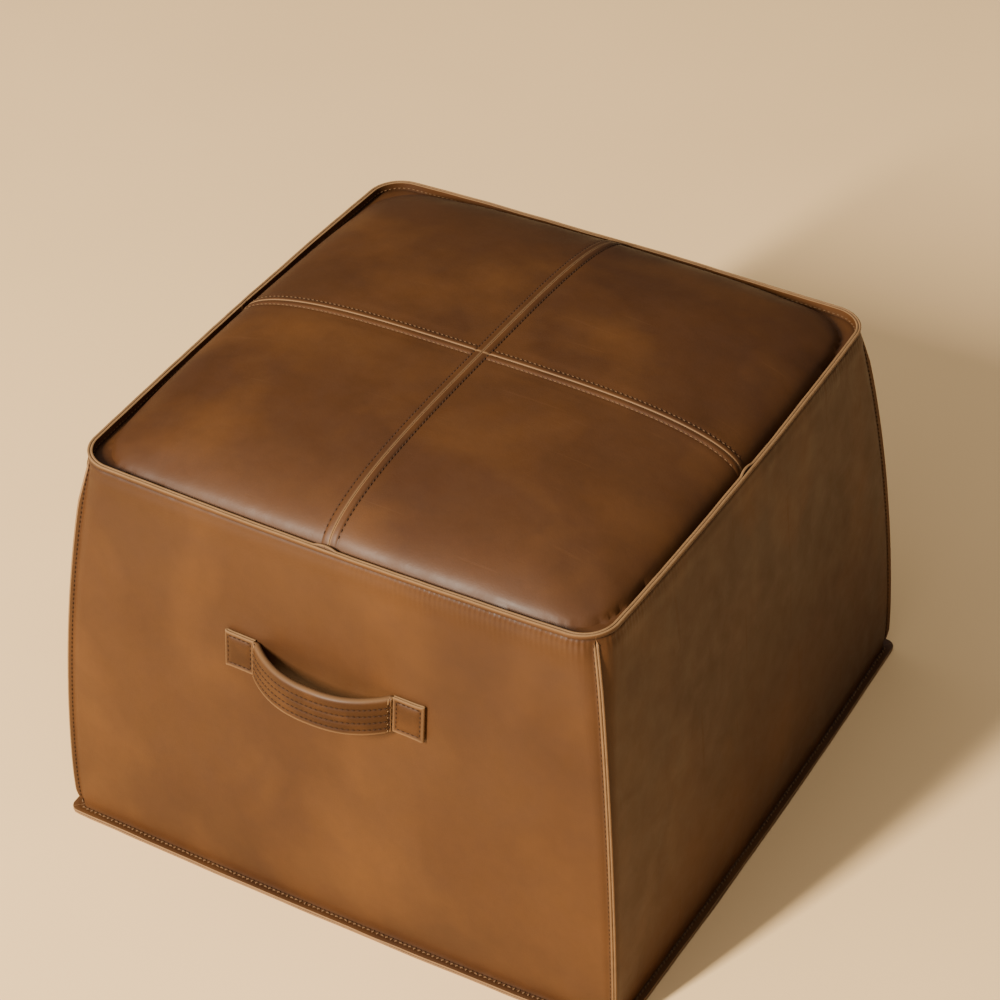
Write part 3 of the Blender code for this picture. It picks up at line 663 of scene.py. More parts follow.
def cubic_weights(shares, count):
    """Rows of weights that read a line of evenly spaced values at each share, 0 to 1, without kinks."""
    table = np.zeros((len(shares), count))
    for row, share in enumerate(shares):
        place = min(max(share, 0.0), 1.0) * (count - 1)
        cell = min(int(place), count - 2)
        f = place - cell
        weights = (
            -0.5 * f + f**2 - 0.5 * f**3,
            1 - 2.5 * f**2 + 1.5 * f**3,
            0.5 * f + 2 * f**2 - 1.5 * f**3,
            -0.5 * f**2 + 0.5 * f**3,
        )
        for offset, weight in enumerate(weights):
            table[row, min(max(cell - 1 + offset, 0), count - 1)] += weight
    return table


def free_share(across, along):
    """How free a point of a sheet is, from 0 at its sewn edges to 1 in its middle."""
    return math.sin(math.pi * across) * math.sin(math.pi * along)


def blown(place, held, cap):
    """Blows a sheet of leather up like stuffing does, held where it is sewn.

    Place and held take shares, 0 to 1, along the sheet and up it. The result is how far each point
    of an even grid moves, with no point moving more than cap.
    """
    cells = BLOW_CELLS
    size = cells + 1
    shape = grid_of(cells, cells, lambda column, row: place(column / cells, row / cells))
    piece = to_object("stuffing_trial", shape, [])
    rest = np.array([v.co for v in piece.data.vertices])
    sewn = piece.vertex_groups.new(name="sewn")
    fixed = [index for index in range(len(rest)) if held(index % size / cells, index // size / cells)]
    sewn.add(fixed, 1.0, "REPLACE")
    cloth = piece.modifiers.new("stuffing", "CLOTH")
    cloth.settings.quality = 6
    cloth.settings.mass = 0.4
    cloth.settings.tension_stiffness = 25.0
    cloth.settings.compression_stiffness = 25.0
    cloth.settings.shear_stiffness = 12.0
    cloth.settings.bending_stiffness = 2.0
    cloth.settings.use_pressure = True
    cloth.settings.uniform_pressure_force = PRESSURE
    cloth.settings.vertex_group_mass = "sewn"
    cloth.settings.effector_weights.gravity = 0.0
    cloth.point_cache.frame_start = 1
    cloth.point_cache.frame_end = BLOW_FRAMES
    scene = bpy.context.scene
    for step in range(1, BLOW_FRAMES + 1):
        scene.frame_set(step)
    graph = bpy.context.evaluated_depsgraph_get()
    after = piece.evaluated_get(graph).to_mesh()
    shift = np.array([v.co for v in after.vertices]) - rest
    scene.frame_set(1)
    mesh = piece.data
    bpy.data.objects.remove(piece)
    bpy.data.meshes.remove(mesh)
    length = np.linalg.norm(shift, axis=1)
    shift *= min(1.0, cap / max(length.max(), 1e-9))
    print(f"STUFFING moved up to {length.max() * 1000:.2f} mm, kept to {cap * 1000:.2f}", flush=True)
    moved = shift.reshape(size, size, 3).transpose(1, 0, 2).copy()
    for _ in range(EASING_PASSES):
        around = (moved[:-2, 1:-1] + moved[2:, 1:-1] + moved[1:-1, :-2] + moved[1:-1, 2:]) / 4
        moved[1:-1, 1:-1] = (moved[1:-1, 1:-1] + around) / 2
    return moved


# ---------------------------------------------------------------- the top


def rounded_square(half, radius, bow, along):
    """Plan of the front side of a rounded square, along its length from the middle, with its outward normal."""
    side = math.copysign(1.0, along)
    straight = half - radius
    along = abs(along)
    if along <= straight:
        share = along / max(straight, 1e-9)
        point = Vector((side * along, -(half + bow * (1 - share**2)), 0.0))
        return point, Vector((side * 2 * bow * share / max(straight, 1e-9), -1.0, 0.0)).normalized()
    angle = (along - straight) / radius
    out = Vector((side * math.sin(angle), -math.cos(angle), 0.0))
    return Vector((side * straight, -straight, 0.0)) + out * radius, out


def ring_of(x, y):
    """The share of the valley's outline, scaled about the middle of the top, that passes a point."""
    far, near = max(abs(x), abs(y)), min(abs(x), abs(y))
    straight = VALLEY_HALF - VALLEY_RADIUS
    if near * VALLEY_HALF <= straight * far:
        wide = VALLEY_HALF + SIDE_BOW
        return (far + math.sqrt(far**2 + 4 * wide * SIDE_BOW * (near / straight) ** 2)) / (2 * wide)
    a = 2 * straight**2 - VALLEY_RADIUS**2
    b = straight * (far + near)
    return (b - math.sqrt(max(b * b - a * (far**2 + near**2), 0.0))) / a


def crown_height(x, y):
    """Height of the stuffed top, grain side, before it swells between its seams."""
    ring = min(ring_of(x, y), 1.0)
    squared = ((abs(x) / VALLEY_HALF) ** 4 + (abs(y) / VALLEY_HALF) ** 4) ** 0.25
    share = between(squared, ring, min(ring**CROWN_ROUNDING, 1.0)) / CROWN_EDGE
    return VALLEY + CROWN_RISE * (1 - min(share, 1.0) ** CROWN_FLATNESS) ** CROWN_FULLNESS


def strip_relief(away):
    """Height that a cross seam adds at a distance from it: a fold, a raised strip, a sunk row of stitches."""
    fold = -0.0005 * (1 - min(away / 0.0010, 1.0)) ** 2
    raised = STRIP_HEIGHT * (1 - step_up(0.0050, 0.0085, away))
    swell = 0.0005 * math.sin(math.pi * min(away / 0.0060, 1.0))
    return fold + raised + swell - 0.0005 * bump(away, TOPSTITCH + 0.0002, 0.0008)


def seam_height(x, y):
    """Height of the top's grain side with the relief of both cross seams."""
    across, along = abs(x), abs(y)
    over = strip_relief(across)
    under = strip_relief(along) * step_up(0.004, 0.0095, across)
    if across < 0.004:
        relief = over
    else:
        relief = max(over, under) if under > 0 and over > 0 else over + under
    return crown_height(x, y) + relief


def top_stations():
    """Distances from a seam at which the top has a row of points, out to the valley."""
    count = int((VALLEY_HALF - 0.003) / HALF_STITCH)
    even = [step * HALF_STITCH for step in range(4, count + 1)]
    return [*SEAM_STATIONS, *even, VALLEY_HALF - 0.0022, VALLEY_HALF - 0.0012, VALLEY_HALF - 0.0005, VALLEY_HALF]


RISES = (0.0012, 0.0028, 0.0046, 0.0064, 0.0080)  # up the inner face of the standing hem


def top_plan(a, b):
    """Plan point of the back right quarter, a and b from its seams, on rings that round off at the corner."""
    far, near = max(a, b), min(a, b)
    ring = far / VALLEY_HALF
    whole = VALLEY_HALF - VALLEY_RADIUS + VALLEY_RADIUS * math.pi / 4
    along = near / VALLEY_HALF * whole if far else 0.0
    point, out = rounded_square(VALLEY_HALF * ring, VALLEY_RADIUS * ring, SIDE_BOW * ring, along)
    forward = (-point.y, point.x)
    x, y = forward if a >= b else reversed(forward)
    return Vector((x, y, 0.0)), Vector((-out.y, out.x, 0.0)) if a >= b else Vector((out.x, -out.y, 0.0))


def rim_sway(point):
    """How far the standing hem leans out at its raw edge, the same for both its layers."""
    flat = Vector((point.x, point.y, 0.0))
    return 0.0007 * lumps(flat, 11.0, 3) + 0.0003 * lumps(flat, 45.0, 4)


def rim_lift(point):
    flat = Vector((point.x, point.y, 0.0))
    return -0.0004 + 0.0005 * lumps(flat, 16.0, 5)


def make_top():
    stations = top_stations()
    last = len(stations) - 1
    total = last + len(RISES)
    limit = bpy.context.scene.pouf_sizes.top_fullness
    for index, name in enumerate(QUARTERS):
        turn = quarter_turn(index)

        def slack(x, y):
            free = step_up(0.008, 0.07, min(abs(x), abs(y))) * (1 - step_up(0.75, 1.0, ring_of(x, y)))
            return free * (0.0010 * lumps(Vector((x, y, 0.0)), 14.0, index + 20) - TOP_START)

        def sheet_place(across, along):
            point = top_plan(across * VALLEY_HALF, along * VALLEY_HALF)[0]
            return Vector((point.x, point.y, crown_height(point.x, point.y) + slack(point.x, point.y)))

        def sewn(across, along):
            return min(across, along) * VALLEY_HALF < 0.0085 or max(across, along) > 0.985

        field = blown(sheet_place, sewn, limit)
        shares = [min(s / VALLEY_HALF, 1.0) for s in stations]
        weights = cubic_weights(shares, BLOW_CELLS + 1)
        swell = np.einsum("ci,ijk,rj->crk", weights, field, weights)
        points, marks = [], []
        for column in range(total + 1):
            line, mark = [], []
            for row in range(total + 1):
                a, b = stations[min(column, last)], stations[min(row, last)]
                plan, out = top_plan(a, b)
                world = turn @ plan
                x, y = (plan.x, plan.y) if index % 2 == 0 else (plan.y, plan.x)
                near = min(plan.x, plan.y)
                ring = ring_of(plan.x, plan.y)
                hem = max(column, row) - last
                # Rubbed wear and painted highlight: a light line along the fold of each cross seam.
                rub_and_highlight = bump(near, 0.0003, 0.0008)
                shade = 0.0
                if hem > 0:
                    rise = RISES[hem - 1]
                    lean = rim_sway(world) * rise / RISES[-1]
                    thick = 0.0013 * max(0.0, 1 - (near / 0.0100) ** 2)
                    lump = 0.0014 * max(0.0, 1 - (near / 0.0110) ** 2)
                    point = plan + out * (lean - thick * math.sin(rise / RISES[-1] * 2.2))
                    point.z = VALLEY + rise + (rim_lift(world) + lump) * rise / RISES[-1]
                    # Painted shade, deepest low on the inner face of the standing hem.
                    shade = 0.35 * (1 - rise / RISES[-1])
                else:
                    shift = Vector(swell[min(column, last), min(row, last)])
                    point = plan + shift * step_up(0.0085, 0.018, near) * (1 - step_up(0.97, 1.0, ring))
                    height = seam_height(x, y) + slack(plan.x, plan.y)
                    hole = 1 if (column if a > b else row) % 2 else -1
                    pull = hole * bump(near, TOPSTITCH, 0.0011)
                    depth = VALLEY_HALF * (1 - ring)
                    around = math.atan2(world.y, world.x) * 0.30
                    folds = noise.noise(Vector((around / 0.011, 3.0 + depth * 12.0, 1.0)))
                    pucker = 0.00025 * folds * math.exp(-depth / 0.012) * (1 - math.exp(-depth / 0.002))
                    waves = 0.0007 * lumps(world, 9.0, 7) + 0.00025 * lumps(world, 28.0, 8)
                    free = step_up(0.008, 0.03, near) * (1 - step_up(0.93, 1.0, ring))
                    point.z = height + shift.z * step_up(0.0085, 0.018, near) + pucker + waves * free
                    point.z -= 0.00008 * (1 + pull)
                    if ring > 0.985:
                        point.z = max(point.z, VALLEY)
                    # Painted shade along the sunk rows of stitches and in the valley behind the standing hem.
                    shade = 0.35 * bump(near, TOPSTITCH + 0.0003, 0.0008) + 0.6 * step_up(0.985, 1.0, ring)
                line.append(turn @ point)
                mark.append((rub_and_highlight, shade))
            points.append(line)
            marks.append(mark)
        piece = leather_piece("top_quarter_" + name, points, ["hide", "raw_edge", "suede"], marks=marks)
        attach(piece, "root")
        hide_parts("top_panel_" + name)


# ---------------------------------------------------------------- the walls


def wall_share(level):
    return min(max((level - FOOT_LEVEL) / (RIM_LEVEL - FOOT_LEVEL), 0.0), 1.0)


def wall_half(share):
    """From the middle of the seat to a wall's grain side at its corners, share of the way up."""
    return between(FOOT_HALF, RIM_HALF, share) + BELLY * math.sin(math.pi * share) + LEATHER


def plumpness(level, seam):
    """How far the stuffing fills a wall out beyond its pattern, near its corners and low down."""
    fullest = 0.0065 * math.sin(math.pi * wall_share(level) ** 0.45)
    return fullest * max(1 - step_up(0.0, 0.13, seam), 0.8 * (1 - step_up(0.04, 0.19, level)))


def wall_radius(share):
    top = (RIM_RADIUS - CORNER_RADIUS) * share**CORNER_OPENING
    foot = (FOOT_RADIUS - CORNER_RADIUS) * (1 - share) ** CORNER_OPENING
    return CORNER_RADIUS + top + foot + LEATHER


def corner_hem(share):
    fade = min(1.0, share / SEAM_FADE_FOOT, (1 - share) / SEAM_FADE_RIM)
    return between(SMALLEST_HEM, CORNER_HEM, max(0.0, fade))


def wall_levels():
    """(level, reach) of each row of a wall: reach is how far a row of the lying hem stands out."""
    count = round((HIGH_ROWS[0] - LOW_ROWS[-1]) / WALL_PITCH)
    middle = [between(LOW_ROWS[-1], HIGH_ROWS[0], step / count) for step in range(1, count)]
    rows = [(FOOT_LEVEL + LEATHER, reach) for reach in FOOT_ROWS]
    return rows + [(level, 0.0) for level in (*LOW_ROWS, *middle, *HIGH_ROWS, *RIM_ROWS)]


def open_share(level):
    """1 where the raised corner seam stands clear, 0 where it runs into the hems of the rim and the foot."""
    return (1 - step_up(0.3805, 0.3862, level)) * step_up(0.0064, 0.0150, level)


def wall_plan(column, level, reach=0.0):
    """Plan of the front wall's grain side, the outward normal, and how far it is from the corner seam.

    Columns beyond the wall itself climb the raised seam at its corner.
    """
    share = wall_share(level)
    half = wall_half(share) + reach
    radius = wall_radius(share) + reach * 0.1
    hem = corner_hem(share)
    fillet = min(0.0012, hem * 0.5)
    straight = half - radius
    turned = math.asin(min((LEATHER + GAP / 2 + fillet) / radius, 1.0))
    length = straight + radius * (math.pi / 4 - turned)
    place = min(abs(column), WALL_COLUMNS) / WALL_COLUMNS * length
    point, out = rounded_square(half, radius, SIDE_BOW, math.copysign(place, column))
    beyond = abs(column) - WALL_COLUMNS
    if beyond > 0:
        side = math.copysign(1.0, column)
        whole = straight + radius * math.pi / 4 - GAP / 2
        place = side * between(length, whole, beyond / FLANGE_COLUMNS)
        round_corner, round_out = rounded_square(half, radius, SIDE_BOW, place)
        closing = 1 - open_share(level)
        corner = Vector((side * straight, -straight, 0.0))
        away = Vector((side, -1.0, 0.0)).normalized()
        aside = Vector((-side, -1.0, 0.0)).normalized()
        offsets = ((0.42, 0.10), (0.08, 0.50), (0.0, 1.0))
        if beyond <= len(offsets):
            offset, climb = offsets[beyond - 1]
            climb *= fillet
        else:
            offset = 0.0
            climb = between(fillet, hem, (beyond - len(offsets)) / (FLANGE_COLUMNS - len(offsets)))
        point = corner + away * (radius + climb) + aside * (LEATHER + GAP / 2 + offset * fillet)
        out = aside if beyond > 1 else (aside + out).normalized()
        point = (point + away * plumpness(level, 0.0) * 1.2).lerp(round_corner, closing)
        return point, out.lerp(round_out, closing).normalized(), 0.0
    seam = max(length - place, 0.0)
    corner = Vector((math.copysign(1.0, column), -1.0, 0.0)).normalized()
    near = 1 - step_up(0.0, 0.05, seam)
    if not reach:
        point += (out * (1 - near) + corner * near * 1.2) * plumpness(level, seam)
    return point, out, seam


def tab_places():
    """Where the handle's strap is sewn to the front wall: (lowest x, highest x, lowest z, highest z)."""
    inner, outer = GRIP_LENGTH / 2, GRIP_LENGTH / 2 + TAB_LENGTH
    low, high = HANDLE_HEIGHT - STRAP_WIDTH / 2, HANDLE_HEIGHT + STRAP_WIDTH / 2
    return ((-outer, -inner, low, high), (inner, outer, low, high))


def tab_distance(x, z):
    nearest = 1.0
    for left, right, low, high in tab_places():
        aside = max(left - x, x - right, 0.0)
        above = max(low - z, z - high, 0.0)
        nearest = min(nearest, math.hypot(aside, above))
    return nearest


def wall_surface(index, field, weights):
    """The points and marks of a wall, made as the front wall and turned to its own side of the seat.

    Its rows run from the raw edge of the lying hem, up the wall, to the raw edge of the standing hem.
    """
    turn = quarter_turn(index)
    rows = wall_levels()
    last = WALL_COLUMNS + FLANGE_COLUMNS
    swell = np.einsum("ci,ijk,rj->crk", weights[0], field, weights[1])
    points, marks = [], []
    for column in range(-last, last + 1):
        line, mark = [], []
        inside = min(max(column + WALL_COLUMNS, 0), 2 * WALL_COLUMNS)
        for row, (level, reach) in enumerate(rows):
            plan, out, seam = wall_plan(column, level, reach)
            point = plan.copy()
            point.z = level
            world = turn @ point
            depth = CREASE - level
            beyond = abs(column) > WALL_COLUMNS
            rub_and_highlight = shade = 0.0
            if reach:
                lift = 0.0006 * (0.6 + lumps(world, 14.0, 11)) * step_up(0.004, 0.010, reach)
                point.z += max(lift, 0.0) - 0.0005 * bump(reach, FOOT_STITCHES, 0.0008)
                point += out * (0.0005 * lumps(world, 30.0, 12) * step_up(0.004, 0.010, reach) - 0.0002)
                # Rubbed wear and painted highlight towards the raw edge of the lying hem; painted shade where it
                # meets the wall.
                rub_and_highlight = 0.12 * step_up(0.006, 0.010, reach)
                shade = 0.5 * bump(reach, 0.0026, 0.0016)
            elif depth >= 0:
                low = level - FOOT_LEVEL - LEATHER
                fillet = 0.0016 * (1 - min(low / 0.005, 1.0)) ** 2
                point += out * (fillet - 0.0007 * bump(depth, 0.0, 0.0013))
                # Painted shade in the creases at the foot and under the standing hem.
                shade = 0.4 * bump(low, 0.0, 0.002) + 0.6 * bump(depth, 0.0, 0.0010)
                if not beyond:
                    free = step_up(0.0, 0.03, seam) * step_up(0.0, 0.04, depth) * step_up(0.0, 0.04, low)
                    sewn = 1.0 if index else step_up(0.004, 0.022, tab_distance(plan.x, level))
                    waves = 0.0011 * lumps(world, 7.0, 13) + 0.0004 * lumps(world, 19.0, 14)
                    around = column / WALL_COLUMNS * 0.24 + index
                    corner = 1 - step_up(0.02, 0.18, seam)
                    folds = noise.noise(Vector((around / 0.0085, 4.0 + depth * 9.0, index * 3.0)))
                    gather = folds * between(0.0002, 0.0009, corner) * math.exp(-depth / 0.013)
                    wander = 0.75 + 0.6 * noise.noise(Vector((around / 0.021, 2.0, index * 5.0)))
                    tight = step_up(-0.15, 0.55, column / WALL_COLUMNS) if index == 0 else 0.45 * corner
                    ridge = math.cos(math.pi * column / 2 + 0.8) * wander * 0.0009 * tight
                    gather += ridge * math.exp(-depth / 0.0080)
                    gather += 0.0011 * math.exp(-((depth - 0.011) ** 2) / 0.008**2)
                    gather *= (1 - math.exp(-depth / 0.0013)) * step_up(0.0, 0.007, seam)
                    tucks = noise.noise(Vector((around / 0.012, 9.0 + low * 9.0, index * 3.0)))
                    tuck = 0.0006 * tucks * math.exp(-low / 0.014) * (1 - math.exp(-low / 0.004))
                    tuck *= step_up(0.0, 0.008, seam)
                    side_tucks = noise.noise(Vector((level / 0.013, seam * 9.0, index * 5.0)))
                    pinch = 0.00035 * side_tucks * math.exp(-seam / 0.010) * (1 - math.exp(-seam / 0.002))
                    point += Vector(swell[inside, row]) * sewn
                    point += out * (waves * free * sewn + gather + tuck + pinch)
            if depth <= 0:
                share = -depth / (RIM_HEIGHT - CREASE)
                point += out * (rim_sway(world) * share + 0.0002 * share)
                point.z += rim_lift(world) * share
                # Rubbed wear and painted highlight up the standing hem; painted shade in its crease.
                rub_and_highlight = 0.7 * step_up(0.5, 1.0, share)
                shade = 0.6 * bump(depth, 0.0, 0.0010)
            if beyond:
                # Rubbed wear and painted highlight on the raised corner seam; painted shade between its layers.
                rub_and_highlight = max(rub_and_highlight, 0.25 * open_share(level) * step_up(2.0, 5.0, abs(column) - WALL_COLUMNS))
                shade = max(shade, 0.45 * open_share(level) * bump(abs(column) - WALL_COLUMNS, 1.5, 1.0))
            line.append(turn @ point)
            mark.append((rub_and_highlight, shade))
        points.append(line)
        marks.append(mark)
    return points, marks


def make_walls():
    limit = bpy.context.scene.pouf_sizes.wall_fullness
    rows = wall_levels()
    top = len(rows) - len(RIM_ROWS)
    low, high = LOW_ROWS[0], CREASE
    column_shares = [step / (2 * WALL_COLUMNS) for step in range(2 * WALL_COLUMNS + 1)]
    row_shares = [min(max((level - low) / (high - low), 0.0), 1.0) for level, reach in rows]
    weights = (cubic_weights(column_shares, BLOW_CELLS + 1), cubic_weights(row_shares, BLOW_CELLS + 1))
    lines = {"foot": [], "corner": []}
    for name, index in OUTWARD.items():

        def sheet_place(across, along):
            column = (2 * across - 1) * WALL_COLUMNS
            level = between(low, high, along)
            plan, out, seam = wall_plan(column, level)
            free = free_share(across, along)
            ripple = 0.0012 * lumps(Vector((plan.x, index * 2.0, level)), 9.0, index + 30)
            point = plan - out * (WALL_START * limit * free) + out * ripple * free
            point.z = level
            return point

        def sewn(across, along):
            if min(across, 1 - across) < 0.012 or along > 0.985 or along < 0.012:
                return True
            column = (2 * across - 1) * WALL_COLUMNS
            level = between(low, high, along)
            return index == 0 and tab_distance(wall_plan(column, level)[0].x, level) < 0.006

        field = blown(sheet_place, sewn, limit)
        for column in range(BLOW_CELLS + 1):
            for row in range(BLOW_CELLS + 1):
                across, along = column / BLOW_CELLS, row / BLOW_CELLS
                out = wall_plan((2 * across - 1) * WALL_COLUMNS, between(low, high, along))[1]
                field[column, row] -= np.array(out) * WALL_START * limit * free_share(across, along)
        points, marks = wall_surface(index, field, weights)
        piece = leather_piece("wall_" + name, points, ["hide", "raw_edge", "suede"], marks=marks)
        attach(piece, "root")
        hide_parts("side_panel_" + name)
        first, past = FLANGE_COLUMNS, len(points) - FLANGE_COLUMNS
        foot = FOOT_ROWS.index(FOOT_STITCHES)
        lines["foot"].append([points[column][foot] for column in range(first, past)])
        for column in (FLANGE_COLUMNS - 3, past + 2):
            lines["corner"].append([points[column][row] for row in range(len(FOOT_ROWS) + 2, top - 3)])
    return lines


# ---------------------------------------------------------------- stitches


def thread_shape(length, width):
    """One visible stitch along X: a short twisted thread that rises out of one hole and dives into the next."""
    shape = bmesh.new()
    bmesh.ops.create_cone(
        shape,
        cap_ends=True,
        segments=6,
        radius1=width / 2,
        radius2=width / 2,
        depth=length,
        matrix=Matrix.Rotation(math.pi / 2, 4, "Y"),
    )
    long = [edge for edge in shape.edges if abs(edge.verts[0].co.x - edge.verts[1].co.x) > length / 2]
    bmesh.ops.subdivide_edges(shape, edges=long, cuts=4, use_grid_fill=True)
    layer = shape.loops.layers.uv.new("UVMap")
    for face in shape.faces:
        face.smooth = True
        for loop in face.loops:
            place = loop.vert.co
            loop[layer].uv = (place.x, math.atan2(place.y, place.z) * width / 2)
    for point in shape.verts:
        share = abs(point.co.x) / (length / 2)
        thin = 1 - 0.35 * share**3
        point.co.y *= thin * 1.15
        point.co.z = point.co.z * thin * 0.85 + width * (0.42 - 1.15 * share**4)
    mesh = bpy.data.meshes.new("thread_shape")
    shape.to_mesh(mesh)
    shape.free()
    return mesh


def evenly(line, pitch):
    """(middle, direction) of each stitch along a line of points, at about that pitch."""
    lengths = [0.0]
    for near, far in zip(line, line[1:]):
        lengths.append(lengths[-1] + (far - near).length)
    count = max(1, round(lengths[-1] / pitch))
    holes = []
    cell = 0
    for step in range(count + 1):
        want = lengths[-1] * step / count
        while cell < len(line) - 2 and lengths[cell + 1] < want:
            cell += 1
        share = (want - lengths[cell]) / max(lengths[cell + 1] - lengths[cell], 1e-9)
        holes.append(line[cell].lerp(line[cell + 1], min(share, 1.0)))
    return [((near + far) / 2, (far - near).normalized()) for near, far in zip(holes, holes[1:])]


def facing(line, pitch, out):
    """Stitches along a line of points, all of them facing out."""
    return [(middle, along, out) for middle, along in evenly(line, pitch)]


def sewn_row(shape, template, places, seed, slant=0.06):
    """Adds a stitch at each (middle, direction, normal), turned a little as hand-guided sewing is."""
    for number, (middle, along, normal) in enumerate(places):
        aside = normal.cross(along).normalized()
        up = along.cross(aside).normalized()
        twist = slant * noise.noise(Vector((number * 1.7, seed * 3.1, 0.5))) * 2 + slant
        along = along * math.cos(twist) + aside * math.sin(twist)
        place = Matrix((along, up.cross(along), up)).transposed().to_4x4()
        place.translation = middle
        template.transform(place)
        shape.from_mesh(template)
        template.transform(place.inverted())


def stitches(name, rows, material, length, width, slot_name="cover_leather", slant=0.06):
    """One piece with every stitch of these rows. It still has to be told what it rides on."""
    template = thread_shape(length, width)
    shape = bmesh.new()
    for seed, row in enumerate(rows):
        sewn_row(shape, template, row, seed, slant)
    piece = to_object(name, shape, [material])
    bpy.data.meshes.remove(template)
    return piece


def cover_stitches(name, rows, material, length, width, **values):
    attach(stitches(name, rows, material, length, width, **values), "root")


def top_normal(x, y):
    step = 0.003
    rise_x = (crown_height(x + step, y) - crown_height(x - step, y)) / (2 * step)
    rise_y = (crown_height(x, y + step) - crown_height(x, y - step)) / (2 * step)
    return Vector((-rise_x, -rise_y, 1.0)).normalized()


def cross_row(offset, along_y, start, end):
    """Stitches beside a cross seam, from hole to hole."""
    places = []
    for step in range(round(start / STITCH), round(end / STITCH)):
        ends = []
        for hole in (step, step + 1):
            x, y = (offset, hole * STITCH) if along_y else (hole * STITCH, offset)
            ends.append(Vector((x, y, seam_height(x, y))))
        middle = (ends[0] + ends[1]) / 2
        places.append((middle, (ends[1] - ends[0]).normalized(), top_normal(middle.x, middle.y)))
    return places


def make_stitches(lines):
    thread = bpy.context.scene.pouf_sizes.thread
    reach = VALLEY_HALF - 0.004
    long_rows = [cross_row(side * TOPSTITCH, True, -reach, reach) for side in (-1, 1)]
    cover_stitches("stitches_long_seam", long_rows, "brown_thread", STITCH * 0.74, thread * 1.15)
    # The short cross seam is sewn in the lighter tan thread, a painted highlight standing in for the glint on the
    # same brown thread.
    short_rows = []
    for side in (-1, 1):
        short_rows.append(cross_row(side * TOPSTITCH, False, 0.0095, reach))
        short_rows.append(cross_row(side * TOPSTITCH, False, -reach, -0.0095))
    cover_stitches("stitches_short_seam", short_rows, "tan_thread", STITCH * 0.74, thread * 1.15)

    inner = []
    steps = 2 * WALL_COLUMNS
    whole = VALLEY_HALF - VALLEY_RADIUS + VALLEY_RADIUS * math.pi / 4
    for index in range(4):
        line = []
        for step in range(steps + 1):
            plan, out = rounded_square(VALLEY_HALF, VALLEY_RADIUS, SIDE_BOW, (2 * step / steps - 1) * whole)
            if abs(plan.x) < 0.012:
                plan -= out * 0.0014
            world = quarter_turn(index) @ plan
            line.append(Vector((world.x, world.y, VALLEY + 0.0022)))
        inner.append([(middle, along, Vector((-along.y, along.x, 0.0))) for middle, along in evenly(line, STITCH)])
    cover_stitches("stitches_valley", inner, "tan_thread", STITCH * 0.72, thread * 0.9)

    corner = []
    for number, line in enumerate(lines["corner"]):
        turn = quarter_turn(number // 2)
        side = -1.0 if number % 2 == 0 else 1.0
        corner.append(facing(line, 0.0048, turn @ Vector((-side, -1.0, 0.0)).normalized()))
    cover_stitches("stitches_corner", corner, "brown_thread", 0.0034, thread * 0.85)

    lift = Vector((0.0, 0.0, 0.0002))
    foot = [facing([point + lift for point in line], 0.0046, Vector((0.0, 0.0, 1.0))) for line in lines["foot"]]
    cover_stitches("stitches_foot", foot, "tan_thread", 0.0040, thread * 1.7, slant=0.55)


# ---------------------------------------------------------------- the base


def base_shape(side):
    """Half of the base, front (1) or rear (-1) of the zip: a flat sheet, cut back along the zip."""
    shape = bmesh.new()
    steps = 60
    outline = []
    radius = FOOT_RADIUS + FOOT_HEM * 0.1 + LEATHER
    whole = BASE_HALF - radius + radius * math.pi / 4
    for index in range(4):
        turn = quarter_turn(index)
        for step in range(2 * steps):
            plan, out = rounded_square(BASE_HALF, radius, SIDE_BOW, (step / steps - 1) * whole)
            world = turn @ plan
            outline.append(world + (turn @ out) * (0.0005 * lumps(world, 30.0, 40) - 0.0003))
    bmesh.ops.create_circle(shape, cap_ends=False, segments=len(outline), radius=1.0)
    for point, place in zip(shape.verts, outline):
        point.co = place
        point.co.z = LEATHER
    face = bmesh.ops.contextual_create(shape, geom=shape.edges[:])["faces"]
    bmesh.ops.inset_region(shape, faces=face, thickness=0.008, use_even_offset=True)
    shape.normal_update()
    if shape.faces[0].normal.z < 0:
        bmesh.ops.reverse_faces(shape, faces=shape.faces)
    cuts = (
        ((0.0, ZIP_OFFSET - side * GAP / 2, 0.0), (0.0, side, 0.0), True),
        ((-ZIP_LENGTH / 2, 0.0, 0.0), (1.0, 0.0, 0.0), False),
        ((ZIP_LENGTH / 2, 0.0, 0.0), (1.0, 0.0, 0.0), False),
        ((0.0, ZIP_OFFSET - side * ZIP_SLOT / 2, 0.0), (0.0, 1.0, 0.0), False),
    )
    for place, normal, away in cuts:
        everything = shape.verts[:] + shape.edges[:] + shape.faces[:]
        bmesh.ops.bisect_plane(shape, geom=everything, dist=1e-6, plane_co=place, plane_no=normal, clear_outer=away)
    slot = []
    for part in shape.faces:
        middle = part.calc_center_median()
        if abs(middle.x) < ZIP_LENGTH / 2 and abs(middle.y - ZIP_OFFSET) < ZIP_SLOT / 2:
            slot.append(part)
    bmesh.ops.delete(shape, geom=slot, context="FACES")
    return shape


def make_base():
    for name, side in (("front", 1), ("rear", -1)):
        piece = thickened(to_object("base_sheet_" + name, base_shape(side), ["suede", "raw_edge", "hide"]), LEATHER)
        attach(piece, "root")
        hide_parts("base_panel_" + name)


# ---------------------------------------------------------------- the handle


